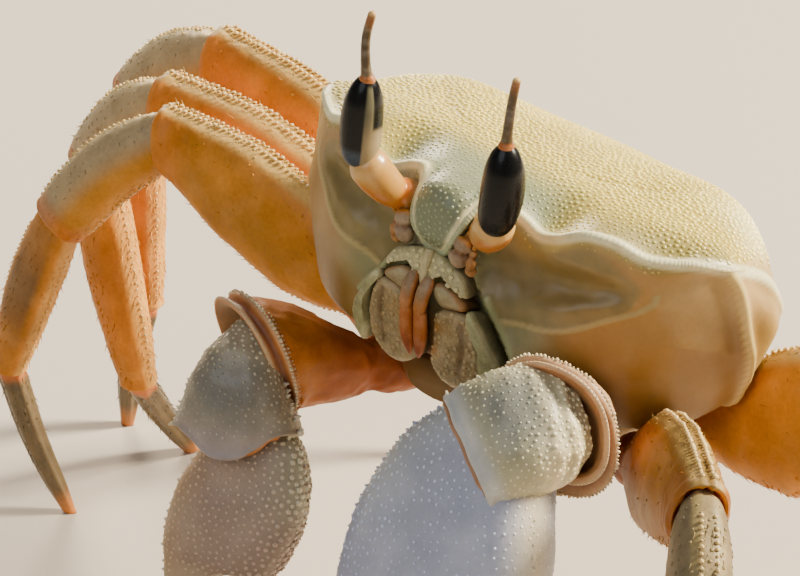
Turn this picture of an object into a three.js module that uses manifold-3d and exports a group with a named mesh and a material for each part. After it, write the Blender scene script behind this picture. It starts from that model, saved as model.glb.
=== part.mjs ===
// Horned ghost crab, life size, standing on its eight walking legs with both claws hanging.
// Millimetres. The crab faces -Y, its left side is +X, and it stands on z = 0.
// Shapes are laid out in the body's own frame, with z = 0 at the crown of the carapace,
// and one group then leans the body and lifts it to the height of its legs.
import * as THREE from 'three';
import { mergeVertices } from 'three/addons/utils/BufferGeometryUtils.js';
import Module from 'manifold-3d';

const wasm = await Module();
wasm.setup();

// ---- driving dimensions ----
const jointGap = 0.3;            // clear space between neighbouring pieces
const bodyHeight = 49.7;         // crown of the carapace above the floor, measured along the lean
const bodyPitch = -8.0;          // degrees, front raised
const bodyRoll = 4.6;            // degrees, left side lowered
const halfWidth = 19.7;          // carapace, at its widest
const rearEdge = 16.3;           // carapace, back edge from the middle
const bodyFloor = -16.8;         // lower edge of the carapace at the mouth
const sternumFloor = -22.6;
const bodyCells = 14;            // facets along each side of the carapace's grid
const bodyCentre = new THREE.Vector3(0, -1, -9);
const footBury = 0.35;           // length ground off each claw tip to leave a flat
const standOffset = [3.46, 3.22]; // from the body's middle to the middle of the whole stance

// ---- colours ----
const shellCream = 0xcfc59a;
const shellTan = 0xc9a25c;
const mouthOlive = 0xa89a6c;
const stalkOrange = 0xe2a660;
const corneaBlack = 0x1c1310;
const hornBrown = 0x5e4a26;
const clawWhite = 0xdcdad2;
const carpusCream = 0xcfc9ab;
const rimPink = 0xc99a7c;
const legOrange = 0xd9913f;
const legOlive = 0xa08a5c;
const tipBrown = 0x4d3a20;

// ---- small maths ----
const clamp01 = (value) => Math.min(1, Math.max(0, value));
const smooth01 = (value) => clamp01(value) ** 2 * (3 - 2 * clamp01(value));
const bell = (value) => Math.exp(-value * value);
const above = (value) => Math.max(0, value);

function softMax(a, b, blend) {
  const near = above(blend - Math.abs(a - b)) / blend;
  return Math.max(a, b) + near * near * blend / 4;
}

const softMin = (a, b, blend) => -softMax(-a, -b, blend);

// ---- carapace: distance-like function, negative inside ----
function outlineHalf(y) {
  const rear = 0.74 * (Math.hypot(above(y + 3.5), 2) - 2);
  return halfWidth - rear - 0.016 * above(-3 - y) ** 2;
}

function crown(x, y) {
  const edgeDrop = 1.5 + 0.22 * above(y + 9.4);
  const across = Math.min(1.3, x / Math.max(6, outlineHalf(y))) ** 2.6;
  const frontDrop = 2.1 * (above(-3 - y) / 13.8) ** 1.8;
  const rearDrop = 9.2 * (above(y + 4) / 20) ** 1.9;
  const eyeSaddle = 1.9 * bell((x - 7.2) / 2.4) * smooth01((-10 - y) / 5);
  const gutter = 0.95 * bell((x - 15.2) / 2.2) * smooth01((brow(x) + 4 - y) / 4);
  const shoulder = 1.35 * bell((x - 13) / 5.3) * bell((y - 1) / 5.5);
  return shoulder - edgeDrop * across - frontDrop - rearDrop - eyeSaddle - gutter;
}

function brow(x) {               // y of the front edge of the back shield
  const sweep = 7.4 * (above(x - 3) / 16.2) ** 1.9;
  const notch = 1.3 * bell((x - 6.2) / 2.6);
  const tooth = 1.4 * bell((x - 19.4) / 1.5);
  return -16.6 + sweep + notch - tooth;
}

function face(x, z) {            // y of the wall below the brow
  const bend = 11 * Math.min(1.2, x / 19.8) ** 3.4;
  const slope = (0.33 + 0.27 * (x / 19.8) ** 2) * above(-9 - z);
  return -17.3 + bend + slope;
}

function bodyField(px, y, z) {
  const x = Math.abs(px);
  const tuck = 9 * (above(-9 - z) / 12) ** 2.6;
  const swell = 1.2 * bell((z + 7.5) / 3.2);
  const roundness = 0.9 + 3.6 * smooth01((y + 9.5) / 5);
  let field = softMax(z - crown(x, y), x - outlineHalf(y) - swell + tuck, roundness);
  field = softMax(field, brow(x) - y, 0.6 + 2.2 * bell(x / 3.4));
  field = softMax(field, face(x, z) - y, 1.2);
  field = softMax(field, y - rearEdge + 0.02 * above(-8 - z) ** 2, 2.5);
  const underside = bodyFloor + 2.3 * smooth01((y + 8) / 6);
  field = softMax(field, underside - z, 1.6);
  // eye sockets, hollowed below the brow and rising to the outer corner
  const run = clamp01((x - 5.5) / 7.5);
  const high = (z + 7.3 - 1.5 * run) / (1.05 - 0.35 * run);
  const hollow = Math.hypot((x - 5.5 - 7.5 * run) / 1.4, (y + 17.2 - 2.7 * run) / 1.1, high);
  field = softMax(field, 2.3 - run - hollow, 0.9);
  // mouth field, set back so that the mouth plates lie in it
  const mouthWall = softMax(x - 6.9, softMax(z + 9.4, -17.6 - z, 0.5), 0.5);
  field = softMax(field, -softMax(mouthWall, y - face(x, z) - 2.1, 0.3), 0.3);
  // front lobe, bent down between the eyes
  const narrow = 2.4 - 0.9 * clamp01((-4.4 - z) / 2.5) ** 1.6;
  const lobeBulk = (x / narrow) ** 3 + (Math.abs(y + 15.7) / 2.65) ** 3 + (Math.abs(z + 4.4) / 2.6) ** 3;
  const lobe = Math.cbrt(lobeBulk);
  return softMin(field, (lobe - 1) * 2.4, 0.9);
}

// ---- solids ----
function bareSolid(geometry) {
  const bare = geometry.clone();
  bare.deleteAttribute('normal');
  bare.deleteAttribute('uv');
  const merged = mergeVertices(bare, 1e-4);
  const vertProperties = new Float32Array(merged.attributes.position.array);
  const triVerts = new Uint32Array(merged.index.array);
  return new wasm.Manifold(new wasm.Mesh({ numProp: 3, vertProperties, triVerts }));
}

function starSolid(centre, cells, field, level) {
  const geometry = new THREE.BoxGeometry(2, 2, 2, cells, cells, cells);
  const position = geometry.attributes.position;
  const ray = new THREE.Vector3();
  for (let i = 0; i < position.count; i += 1) {
    ray.fromBufferAttribute(position, i);
    ray.set(Math.tan(ray.x * 0.75), Math.tan(ray.y * 0.75), Math.tan(ray.z * 0.75)).normalize();
    const spot = new THREE.Vector3();
    const value = (reach) => {
      spot.copy(centre).addScaledVector(ray, reach);
      return field(spot.x, spot.y, spot.z) - level;
    };
    let outer = 4;
    while (value(outer) < 0) {
      outer += 0.4;
    }
    let inner = outer - 0.4;
    for (let step = 0; step < 14; step += 1) {
      const middle = (inner + outer) / 2;
      if (value(middle) < 0) {
        inner = middle;
      } else {
        outer = middle;
      }
    }
    position.setXYZ(i, centre.x + ray.x * inner, centre.y + ray.y * inner, centre.z + ray.z * inner);
  }
  return bareSolid(geometry);
}

// Closed skin through rings set along a curve. Each station is
// [place along the curve 0..1, half thickness, reach upward, reach downward].
// reshape, where given, moves each corner before the skin is closed.
function loftSolid(curve, stations, upHint, sides, grow = 0, square = 0.85, reshape = null) {
  const positions = [];
  const faces = [];
  const tangent = new THREE.Vector3();
  const power = (value) => Math.sign(value) * Math.abs(value) ** square;
  const last = stations.length - 1;
  const middleOf = [];
  stations.forEach(([place, thick, up, down], row) => {
    const t = clamp01(place);
    const centre = curve.getPoint(t);
    curve.getTangent(t, tangent);
    const over = (place - t) * curve.getLength() + (row === 0 ? -grow : 0) + (row === last ? grow : 0);
    centre.addScaledVector(tangent, over);
    const upward = upHint.clone().addScaledVector(tangent, -upHint.dot(tangent)).normalize();
    const across = upward.clone().cross(tangent);
    for (let i = 0; i < sides; i += 1) {
      const angle = 2 * Math.PI * (i + 0.5) / sides;
      const sideways = (thick + grow) * power(Math.cos(angle));
      const rise = ((Math.sin(angle) > 0 ? up : down) + grow) * power(Math.sin(angle));
      const corner = centre.clone().addScaledVector(across, sideways).addScaledVector(upward, rise);
      if (reshape) {
        reshape(corner, centre, place, 360 * (i + 0.5) / sides);
      }
      positions.push(corner.x, corner.y, corner.z);
    }
    middleOf.push(centre.addScaledVector(upward, (up - down) / 2));
  });
  for (let row = 0; row < last; row += 1) {
    for (let i = 0; i < sides; i += 1) {
      const a = row * sides + i;
      const b = row * sides + (i + 1) % sides;
      faces.push(a, b, b + sides, a, b + sides, a + sides);
    }
  }
  const startPole = positions.length / 3;
  positions.push(middleOf[0].x, middleOf[0].y, middleOf[0].z);
  positions.push(middleOf[last].x, middleOf[last].y, middleOf[last].z);
  for (let i = 0; i < sides; i += 1) {
    const next = (i + 1) % sides;
    faces.push(startPole, next, i, startPole + 1, last * sides + i, last * sides + next);
  }
  const geometry = new THREE.BufferGeometry();
  geometry.setAttribute('position', new THREE.Float32BufferAttribute(positions, 3));
  geometry.setIndex(faces);
  return bareSolid(geometry);
}

function largestPiece(solid) {
  const pieces = solid.decompose();
  return pieces.reduce((best, piece) => (piece.volume() > best.volume() ? piece : best));
}

// Joins corners that a cut has left almost on top of one another.
function weld(solid) {
  const mesh = solid.getMesh();
  const corners = mesh.vertProperties;
  for (const step of [0.05, 0.03, 0.015, 0.006, 0.002]) {
    const kept = new Map();
    const target = [];
    for (let i = 0; i < corners.length / 3; i += 1) {
      const key = [0, 1, 2].map((k) => Math.round(corners[3 * i + k] / step)).join();
      if (!kept.has(key)) {
        kept.set(key, i);
      }
      target.push(kept.get(key));
    }
    const faces = [];
    for (let i = 0; i < mesh.triVerts.length; i += 3) {
      const [a, b, c] = [0, 1, 2].map((k) => target[mesh.triVerts[i + k]]);
      if (a !== b && b !== c && c !== a) {
        faces.push(a, b, c);
      }
    }
    try {
      const triVerts = new Uint32Array(faces);
      const joined = new wasm.Manifold(new wasm.Mesh({ numProp: 3, vertProperties: corners, triVerts }));
      if (joined.decompose().length === 1) {
        return joined;
      }
    } catch {
      // this step joined too much: try a finer one
    }
  }
  return solid;
}

// ---- the model and its bookkeeping ----
const crab = new THREE.Group();
const posture = new THREE.Group();
posture.rotation.set(THREE.MathUtils.degToRad(bodyPitch), THREE.MathUtils.degToRad(bodyRoll), 0);
posture.position.set(standOffset[0], standOffset[1], bodyHeight);
posture.updateMatrix();
crab.add(posture);
const upInBody = new THREE.Vector3(0, 0, 1).applyQuaternion(posture.quaternion.clone().invert());
const grownPieces = [];

const overlaps = (a, b) => [0, 1, 2].every((k) => a.min[k] < b.max[k] && b.min[k] < a.max[k]);

// Adds one piece: it is trimmed clear of every piece already standing beside it.
function addPiece(name, makeSolid, colour, roughness = 0.6) {
  let solid = makeSolid(0);
  for (const other of grownPieces) {
    if (overlaps(solid.boundingBox(), other.boundingBox())) {
      solid = solid.subtract(other);
    }
  }
  solid = weld(largestPiece(solid).simplify(0.06));
  grownPieces.push(makeSolid(jointGap));
  const mesh = solid.getMesh();
  const geometry = new THREE.BufferGeometry();
  geometry.setAttribute('position', new THREE.BufferAttribute(new Float32Array(mesh.vertProperties), 3));
  geometry.setIndex(new THREE.BufferAttribute(new Uint32Array(mesh.triVerts), 1));
  geometry.computeVertexNormals();
  const material = new THREE.MeshStandardMaterial({ color: colour, roughness, metalness: 0 });
  const piece = new THREE.Mesh(geometry, material);
  piece.name = name;
  posture.add(piece);
}

const point = (x, y, z) => new THREE.Vector3(x, y, z);
const bowed = (...points) => new THREE.CatmullRomCurve3(points, false, 'centripetal');
const up = point(0, 0, 1);
const between = (a, b) => a.clone().lerp(b, 0.5);

function scaled(stations, factor) {
  return stations.map(([place, ...sizes]) => [place, ...sizes.map((size) => size * factor)]);
}

// ---- body ----
addPiece('carapace', (grow) => starSolid(bodyCentre, bodyCells, bodyField, grow * 1.3), shellCream, 0.5);

const sternumLine = bowed(point(0, -11.0, -19.2), point(0, 1, -18.8), point(0, 13.4, -18.0));
const sternumStations = [
  [0.0, 4.2, 1.6, 1.6], [0.14, 7.4, 3, 3.0], [0.4, 10.6, 4, -sternumFloor - 18.8],
  [0.7, 10.8, 4, -sternumFloor - 18.8], [1.0, 5.6, 3, 1.6],
];
addPiece('sternum', (grow) => loftSolid(sternumLine, sternumStations, up, 12, grow, 0.6), shellTan);

const abdomenLine = bowed(
  point(0, 16.6, -12.0), point(0, 16.6, -16.5), point(0, 13.6, -21.2), point(0, 6, -23.6),
  point(0, -3.5, -23.8),
);
const abdomenStations = [
  [0.0, 5.6, 0.7, 0.7], [0.2, 6.0, 0.8, 0.8], [0.45, 5.4, 0.8, 0.8], [0.7, 3.9, 0.8, 0.8],
  [0.9, 2.4, 0.75, 0.75], [1.0, 1.2, 0.6, 0.6],
];
const abdomenHint = point(0, -1, 0.6);
addPiece('abdomen', (grow) => loftSolid(abdomenLine, abdomenStations, abdomenHint, 10, grow, 0.6), shellTan);

// ---- head ----
const heads = [
  { side: 'left', sign: 1, eyeIn: -0.22, eyeUp: 0.25, stalkRise: 0.3, hornTip: [7.15, -22.9, 9.2] },
  { side: 'right', sign: -1, eyeIn: 0.7, eyeUp: 0.6, stalkRise: 0, hornTip: [6.4, -23.0, 9.1] },
];
const forward = point(0, -1, 0);
for (const { side, sign, eyeIn, eyeUp, stalkRise, hornTip } of heads) {
  const at = (x, y, z) => point(sign * x, y, z);
  const eyeAt = (x, y, z) => at(x - eyeIn, y, z + eyeUp);

  // mouth plate: a broad leaf covering one half of the mouth field
  const plateLine = bowed(at(3.3, -16.9, -9.9), at(3.6, -15.9, -13), at(3.5, -14.3, -17.0));
  const plateStations = [
    [0.0, 2.5, 0.7, 0.7], [0.25, 2.9, 0.9, 0.8], [0.7, 2.9, 0.9, 0.8], [1.0, 2.4, 0.6, 0.7],
  ];
  const plate = (grow) => loftSolid(plateLine, plateStations, forward, 10, grow, 0.7);
  addPiece(`mouth_plate_${side}`, plate, mouthOlive);

  const feelerLine = bowed(
    at(2.45, -17.1, -7.3), at(2.6, -17.8, -6.4), at(2.8, -17.7, -5.4), at(3.1, -17.1, -4.7),
  );
  const feelerStations = [
    [0.0, 0.4, 0.4, 0.4], [0.15, 0.66, 0.64, 0.64], [0.34, 0.74, 0.7, 0.7], [0.7, 0.68, 0.66, 0.66],
    [1.0, 0.4, 0.4, 0.4],
  ];
  const feeler = (grow) => loftSolid(feelerLine, feelerStations, forward, 8, grow);
  addPiece(`antennule_${side}`, feeler, mouthOlive);

  // stalked eye: peduncle out of the brow notch, upright cornea, horn on top
  const stalkLine = bowed(
    at(2.9, -15.4, -4.6), at(4.3, -17.5, -4.2), eyeAt(5.6, -19.2, stalkRise - 3.6),
    eyeAt(6.25, -20.1, stalkRise - 2.6),
  );
  const stalkStations = [
    [0.0, 1.2, 1.2, 1.2], [0.34, 1.32, 1.32, 1.32], [0.7, 1.54, 1.54, 1.54], [0.9, 1.55, 1.55, 1.55],
    [1.1, 0.95, 1.0, 0.95],
  ];
  const stalk = (grow) => loftSolid(stalkLine, stalkStations, point(0, -0.5, 1), 10, grow, 1);
  addPiece(`eyestalk_${side}`, stalk, stalkOrange, 0.4);

  const corneaLine = bowed(eyeAt(6.6, -20.5, -2.9), eyeAt(6.8, -20.9, 0.4), eyeAt(6.65, -21.6, 4.0));
  const corneaStations = [
    [0.0, 0.7, 0.7, 0.7], [0.06, 1.15, 1.15, 1.15], [0.25, 1.52, 1.52, 1.52], [0.5, 1.62, 1.62, 1.62],
    [0.72, 1.48, 1.48, 1.48], [0.9, 1.02, 1.02, 1.02], [1.0, 0.58, 0.58, 0.58],
  ];
  const cornea = (grow) => loftSolid(corneaLine, corneaStations, forward, 12, grow, 1);
  addPiece(`cornea_${side}`, cornea, corneaBlack, 0.12);

  const hornLine = bowed(
    eyeAt(6.65, -21.6, 3.7), eyeAt(6.75, -22.0, 5.3), eyeAt(6.85, -22.45, 7.2), eyeAt(...hornTip),
  );
  const hornStations = [
    [0.0, 0.6, 0.6, 0.6], [0.2, 0.48, 0.48, 0.48], [0.6, 0.38, 0.38, 0.38], [1.0, 0.3, 0.3, 0.3],
  ];
  addPiece(`horn_${side}`, (grow) => loftSolid(hornLine, hornStations, forward, 8, grow, 1), hornBrown, 0.45);
}

// ---- claws ----
// size is the palm's scale; heel is where the palm starts; along points from there to the finger tips;
// upper is the way of the palm's upper edge, on which the movable finger hinges; facing is the way
// the far rim of the arm is turned; wristHint is the way of the wrist's back.
const claws = [
  {
    side: 'left', size: 1, arm: 1.0, shift: -1.0, tongue: 0,
    base: point(7.5, -6.5, -21.0), elbow: point(14.4, -18.7, -14.7), wrist: point(11.2, -23.2, -17.3),
    heel: point(12.3, -21.2, -18.9), along: point(-0.26, -0.06, -0.95), upper: point(-0.93, 0.22, 0.3),
    facing: point(0.1, -0.95, -0.3), wristHint: point(0.25, -0.7, 0.65),
    wristStations: [
      [-0.22, 3.0, 3.0, 2.4], [-0.02, 4.1, 4.1, 3.3], [0.18, 4.5, 4.35, 3.4], [0.45, 4.75, 4.25, 3.5],
      [0.75, 4.8, 3.75, 3.6], [0.95, 4.7, 3.1, 3.5], [1.07, 4.1, 2.3, 2.9],
    ],
  },
  {
    side: 'right', size: 0.57, arm: 0.88, shift: 2.0, tongue: 2.2,
    base: point(-7.5, -6.5, -21.0), elbow: point(-14.0, -17.2, -20.8), wrist: point(-12.1, -19.4, -26.2),
    heel: point(-12.8, -18.6, -27.2), along: point(0.02, -0.05, -1), upper: point(0.97, 0.3, 0.02),
    facing: point(-0.27, -0.8, -0.47), wristHint: point(0.35, -1, 0.2),
    wristStations: [
      [-0.25, 1.4, 1.9, 1.5], [-0.05, 2.3, 2.9, 2.2], [0.2, 3.0, 3.4, 2.7], [0.45, 3.7, 3.5, 3.0],
      [0.7, 4.4, 3.3, 3.1], [0.9, 4.85, 2.9, 3.0], [0.99, 4.4, 2.3, 2.5],
    ],
  },
];
const armStations = [
  [-0.12, 1.9, 1.9, 1.9], [0.0, 2.4, 2.3, 2.3], [0.16, 2.5, 2.4, 2.4], [0.24, 2.2, 2.1, 2.1],
  [0.34, 2.7, 2.7, 2.7], [0.62, 3.9, 3.9, 3.7], [0.86, 4.9, 5.3, 5.0], [0.92, 5.2, 5.7, 5.4],
  [1.02, 4.7, 5.2, 4.9], [1.05, 4.2, 4.65, 4.35],
];
const rimTurn = [0.62, 0.94];    // stretch of the arm over which its rim turns to face its own way
const tongueAt = [92, 28];       // middle and spread in degrees round the wrist, 90 being its back
const palmStations = [
  [-0.12, 2.2, 5.0, 0.6], [-0.03, 3.4, 7.8, 3.2], [0.12, 4.3, 9.8, 6.4], [0.28, 4.7, 10.2, 8.0],
  [0.42, 4.5, 9.4, 8.6], [0.53, 3.8, 7.8, 8.4], [0.58, 3.0, 0.4, 8.0], [0.68, 2.6, -0.8, 7.3],
  [0.84, 1.9, -1.6, 5.6], [0.95, 1.2, -2.0, 4.2], [1.0, 0.7, -2.3, 3.4],
];
const fingerStations = [
  [0.0, 2.6, 2.6, 2.4], [0.15, 2.8, 2.9, 2.6], [0.45, 2.3, 2.3, 2.1], [0.75, 1.6, 1.6, 1.5],
  [0.93, 1.0, 1.0, 0.9], [1.0, 0.6, 0.6, 0.6],
];
const palmLength = 31;

// Turns the corners of the far rings about their centre, so that the rim faces the given way.
function facingRim(curve, facing) {
  const last = curve.getTangent(1);
  const goal = facing.clone().normalize();
  const axis = last.clone().cross(goal).normalize();
  const full = Math.acos(last.dot(goal));
  return (corner, centre, place) => {
    const turn = full * smooth01((place - rimTurn[0]) / (rimTurn[1] - rimTurn[0]));
    corner.sub(centre).applyAxisAngle(axis, turn).add(centre);
  };
}

// Draws the back of the far rings out to a blunt tongue.
function longerBack(curve, reach) {
  const tangent = curve.getTangent(1);
  return (corner, centre, place, degrees) => {
    const share = bell((degrees - tongueAt[0]) / tongueAt[1]) * smooth01((place - 0.55) / 0.45);
    corner.addScaledVector(tangent, reach * share);
  };
}

for (const claw of claws) {
  const along = claw.along.clone().normalize();
  const upper = claw.upper.clone().addScaledVector(along, -claw.upper.dot(along)).normalize();
  const outward = along.clone().cross(upper);
  const spot = (forward, rise, out = 0) => claw.heel.clone()
    .addScaledVector(along, forward * claw.size).addScaledVector(upper, (rise + claw.shift) * claw.size)
    .addScaledVector(outward, out * claw.size);

  const armLine = bowed(claw.base, between(claw.base, claw.elbow).add(point(0, 0, -0.6)), claw.elbow);
  const arm = scaled(armStations, claw.arm);
  const turnRim = facingRim(armLine, claw.facing);
  const armSolid = (grow) => loftSolid(armLine, arm, up, 12, grow, 0.85, turnRim);
  addPiece(`claw_merus_${claw.side}`, armSolid, rimPink);

  const wristLine = bowed(claw.elbow, between(claw.elbow, claw.wrist).add(point(0, -0.5, 0.3)), claw.wrist);
  const drawTongue = longerBack(wristLine, claw.tongue);
  const { wristStations, wristHint } = claw;
  const wristSolid = (grow) => loftSolid(wristLine, wristStations, wristHint, 12, grow, 0.72, drawTongue);
  addPiece(`claw_carpus_${claw.side}`, wristSolid, carpusCream);

  const palmLine = bowed(spot(0, 0), spot(palmLength / 2, 0, 0.4), spot(palmLength, 0));
  const palm = scaled(palmStations, claw.size);
  const palmSolid = (grow) => loftSolid(palmLine, palm, upper, 16, grow, 0.85);
  addPiece(`claw_palm_${claw.side}`, palmSolid, clawWhite, 0.45);

  const fingerLine = bowed(spot(16.2, 4.2), spot(22, 5.0), spot(27, 3.6), spot(31.5, 0.2));
  const finger = scaled(fingerStations, claw.size);
  const fingerSolid = (grow) => loftSolid(fingerLine, finger, upper, 10, grow, 0.9);
  addPiece(`claw_finger_${claw.side}`, fingerSolid, clawWhite, 0.45);
}

// ---- walking legs ----
// Each row: where the leg leaves the body, its scale, segment lengths (upper leg, knee, shin),
// then compass heading and lift of upper leg, knee, shin and foot, in degrees.
const legs = [
  {
    name: 'leg2_right', base: [-11.8, -3.5, -19.9], scale: 0.88, lengths: [25.6, 12.9, 17.1],
    heading: [180, 186, 146, 59], lift: [13, -50, -68, -59],
  },
  {
    name: 'leg3_right', base: [-12.6, 0.6, -19.6], scale: 1, lengths: [30.0, 13.2, 20],
    heading: [176, 157, 45, 95], lift: [10, -41, -69, -40],
  },
  {
    name: 'leg4_right', base: [-13.0, 5.6, -19.2], scale: 1, lengths: [32.0, 13, 19],
    heading: [171, 162, 60, 120], lift: [13.5, -34, -77, -68],
  },
  {
    name: 'leg5_right', base: [-10.6, 10.0, -18.4], scale: 0.7, lengths: [22, 9.5, 14.5],
    heading: [135, 129, 98, 75], lift: [9, -43, -72, -74],
  },
  {
    name: 'leg2_left', base: [12.6, -3.6, -21.0], scale: 0.88, lengths: [26.6, 11.8, 16.7],
    heading: [-48, -44, -44, -60], lift: [14.5, -46, -82, -84],
  },
  {
    name: 'leg3_left', base: [12.8, 1.6, -19.8], scale: 1.1, lengths: [30.8, 13.4, 20],
    heading: [-12, -6, 0, 160], lift: [24, -48, -78, -80],
  },
  {
    name: 'leg4_left', base: [12.8, 5.8, -19.2], scale: 1, lengths: [31.0, 13, 19],
    heading: [9, 14, 25, 160], lift: [26, -40, -79, -80],
  },
  {
    name: 'leg5_left', base: [10.6, 10.0, -18.4], scale: 0.7, lengths: [22, 9.5, 14.5],
    heading: [43, 49, 70, 100], lift: [7, -42, -72, -76],
  },
];
const upperLegStations = [
  [-0.06, 1.9, 1.9, 2.0], [0.04, 2.3, 2.5, 2.5], [0.12, 1.9, 2.2, 2.2], [0.24, 2.3, 3.7, 3.7],
  [0.42, 2.7, 5.0, 5.0], [0.64, 2.7, 5.0, 4.7], [0.84, 2.5, 4.1, 3.5], [0.95, 2.3, 3.4, 2.7],
  [1.03, 1.3, 2.2, 1.6],
];
const kneeStations = [
  [-0.1, 1.2, 1.7, 1.5], [0.02, 2.1, 2.9, 2.5], [0.4, 2.6, 3.4, 3.0], [0.8, 2.5, 3.2, 3.2],
  [0.97, 2.1, 2.6, 2.8], [1.05, 1.1, 1.5, 1.7],
];
const shinStations = [
  [-0.06, 1.1, 1.4, 1.4], [0.05, 1.9, 2.4, 2.4], [0.4, 2.1, 2.8, 2.7], [0.8, 1.8, 2.3, 2.3],
  [0.97, 1.4, 1.8, 1.8], [1.04, 0.8, 1.0, 1.0],
];
const footStations = [
  [-0.05, 0.8, 0.9, 0.9], [0.06, 1.2, 1.45, 1.45], [0.45, 1.1, 1.3, 1.3], [0.8, 0.85, 1.0, 1.0],
  [1.0, 0.6, 0.65, 0.65],
];

function wayTo(heading, lift) {
  const turn = THREE.MathUtils.degToRad(heading);
  const raise = THREE.MathUtils.degToRad(lift);
  return point(Math.cos(raise) * Math.cos(turn), Math.cos(raise) * Math.sin(turn), Math.sin(raise));
}

const floorBlock = new THREE.BoxGeometry(300, 300, 40);
floorBlock.translate(0, 0, -20);
floorBlock.applyMatrix4(posture.matrix.clone().invert());
const floorSolid = bareSolid(floorBlock);

for (const leg of legs) {
  const ways = leg.heading.map((heading, i) => wayTo(heading, leg.lift[i]));
  const bendAxis = ways[0].clone().cross(up).normalize();
  const outerSide = ways.map((way) => bendAxis.clone().cross(way).normalize());
  const joints = [point(...leg.base)];
  leg.lengths.forEach((length, i) => joints.push(joints[i].clone().addScaledVector(ways[i], length)));
  const heightLeft = joints[3].dot(upInBody) + bodyHeight + footBury; // from shin's end to floor
  joints.push(joints[3].clone().addScaledVector(ways[3], -heightLeft / ways[3].dot(upInBody)));
  const line = (i, bow) => {
    const middle = joints[i].clone().lerp(joints[i + 1], 0.5).addScaledVector(outerSide[i], bow * leg.scale);
    return bowed(joints[i], middle, joints[i + 1]);
  };

  const upperLeg = scaled(upperLegStations, leg.scale);
  const upperSolid = (grow) => loftSolid(line(0, 0.8), upperLeg, outerSide[0], 8, grow, 0.8);
  addPiece(`${leg.name}_merus`, upperSolid, legOrange);
  const knee = scaled(kneeStations, leg.scale);
  addPiece(`${leg.name}_carpus`, (grow) => loftSolid(line(1, 0.7), knee, outerSide[1], 7, grow), legOlive);
  const shin = scaled(shinStations, leg.scale);
  addPiece(`${leg.name}_propodus`, (grow) => loftSolid(line(2, 0.4), shin, outerSide[2], 7, grow), legOrange);
  const foot = scaled(footStations, leg.scale);
  const footSolid = (grow) => loftSolid(line(3, 0.7), foot, outerSide[3], 7, grow);
  const standing = (grow) => (grow > 0 ? footSolid(grow) : footSolid(0).subtract(floorSolid));
  addPiece(`${leg.name}_dactyl`, standing, tipBrown);
}

export default crab;
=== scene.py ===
import math
import bpy
import numpy as np
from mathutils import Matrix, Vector


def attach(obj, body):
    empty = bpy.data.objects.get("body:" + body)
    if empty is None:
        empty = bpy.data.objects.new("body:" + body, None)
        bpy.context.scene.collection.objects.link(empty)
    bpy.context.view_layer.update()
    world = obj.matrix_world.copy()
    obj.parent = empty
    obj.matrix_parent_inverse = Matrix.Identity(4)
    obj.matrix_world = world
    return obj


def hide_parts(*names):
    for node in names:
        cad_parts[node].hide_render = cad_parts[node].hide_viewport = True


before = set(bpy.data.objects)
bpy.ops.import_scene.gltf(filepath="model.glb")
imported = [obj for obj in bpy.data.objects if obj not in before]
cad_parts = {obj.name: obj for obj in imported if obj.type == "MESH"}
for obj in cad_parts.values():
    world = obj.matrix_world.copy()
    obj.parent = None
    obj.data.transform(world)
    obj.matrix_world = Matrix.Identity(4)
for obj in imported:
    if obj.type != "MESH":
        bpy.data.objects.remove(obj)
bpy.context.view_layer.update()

# lengths below are in millimetres of the body's own frame until placed() turns them into the row's metres
stance = {"pitch": -8.0, "roll": 4.6, "lift": 49.7, "shift": (3.46, 3.22)}


def turnAbout(axis, degrees):
    c, s = math.cos(math.radians(degrees)), math.sin(math.radians(degrees))
    if axis == "x":
        return np.array([[1, 0, 0], [0, c, -s], [0, s, c]])
    return np.array([[c, 0, s], [0, 1, 0], [-s, 0, c]])


leanTurn = turnAbout("x", stance["pitch"]) @ turnAbout("y", stance["roll"])
leanShift = np.array([stance["shift"][0], stance["shift"][1], stance["lift"]])
upInBody = leanTurn[2]


def placed(points):
    return (np.asarray(points, float) @ leanTurn.T + leanShift) * 0.001


def unit(v):
    v = np.asarray(v, float)
    return v / np.maximum(np.linalg.norm(v, axis=-1, keepdims=True), 1e-9)


def clamp01(v):
    return np.clip(v, 0, 1)


def smooth01(v):
    v = clamp01(v)
    return v * v * (3 - 2 * v)


def bell(v):
    return np.exp(-np.square(v))


def above(v):
    return np.maximum(v, 0)


def softMax(a, b, blend):
    near = above(blend - np.abs(a - b)) / blend
    return np.maximum(a, b) + near * near * blend / 4


def softMin(a, b, blend):
    return -softMax(-a, -b, blend)


def mix(a, b, share):  # blend two colours by a field of shares
    share = np.asarray(share, float)
    share = share[..., None] if share.ndim else share
    return np.asarray(a) * (1 - share) + np.asarray(b) * share


# the picture is a little paler than its paints, so they are mixed richer
film = {"richness": 1.32, "level": 0.86}


def tone(red, green, blue):  # screen colour 0..255 to scene-linear paint
    c = np.array([red, green, blue], float) / 255
    c = np.where(c <= 0.04045, c / 12.92, ((c + 0.055) / 1.055) ** 2.4)
    grey = c @ [0.2126, 0.7152, 0.0722]
    return np.clip((grey + (c - grey) * film["richness"]) * film["level"], 0.004, 0.95)


def ripple(points, size, seed, waves=9):  # smooth seeded noise, about -1..1
    rng = np.random.default_rng(seed)
    total = np.zeros(points.shape[:-1])
    for _ in range(waves):
        way = unit(rng.normal(size=3)) * 2 * math.pi / size * rng.uniform(0.6, 1.7)
        total += np.sin(points @ way + rng.uniform(0, 2 * math.pi))
    return total / math.sqrt(waves)


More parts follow.
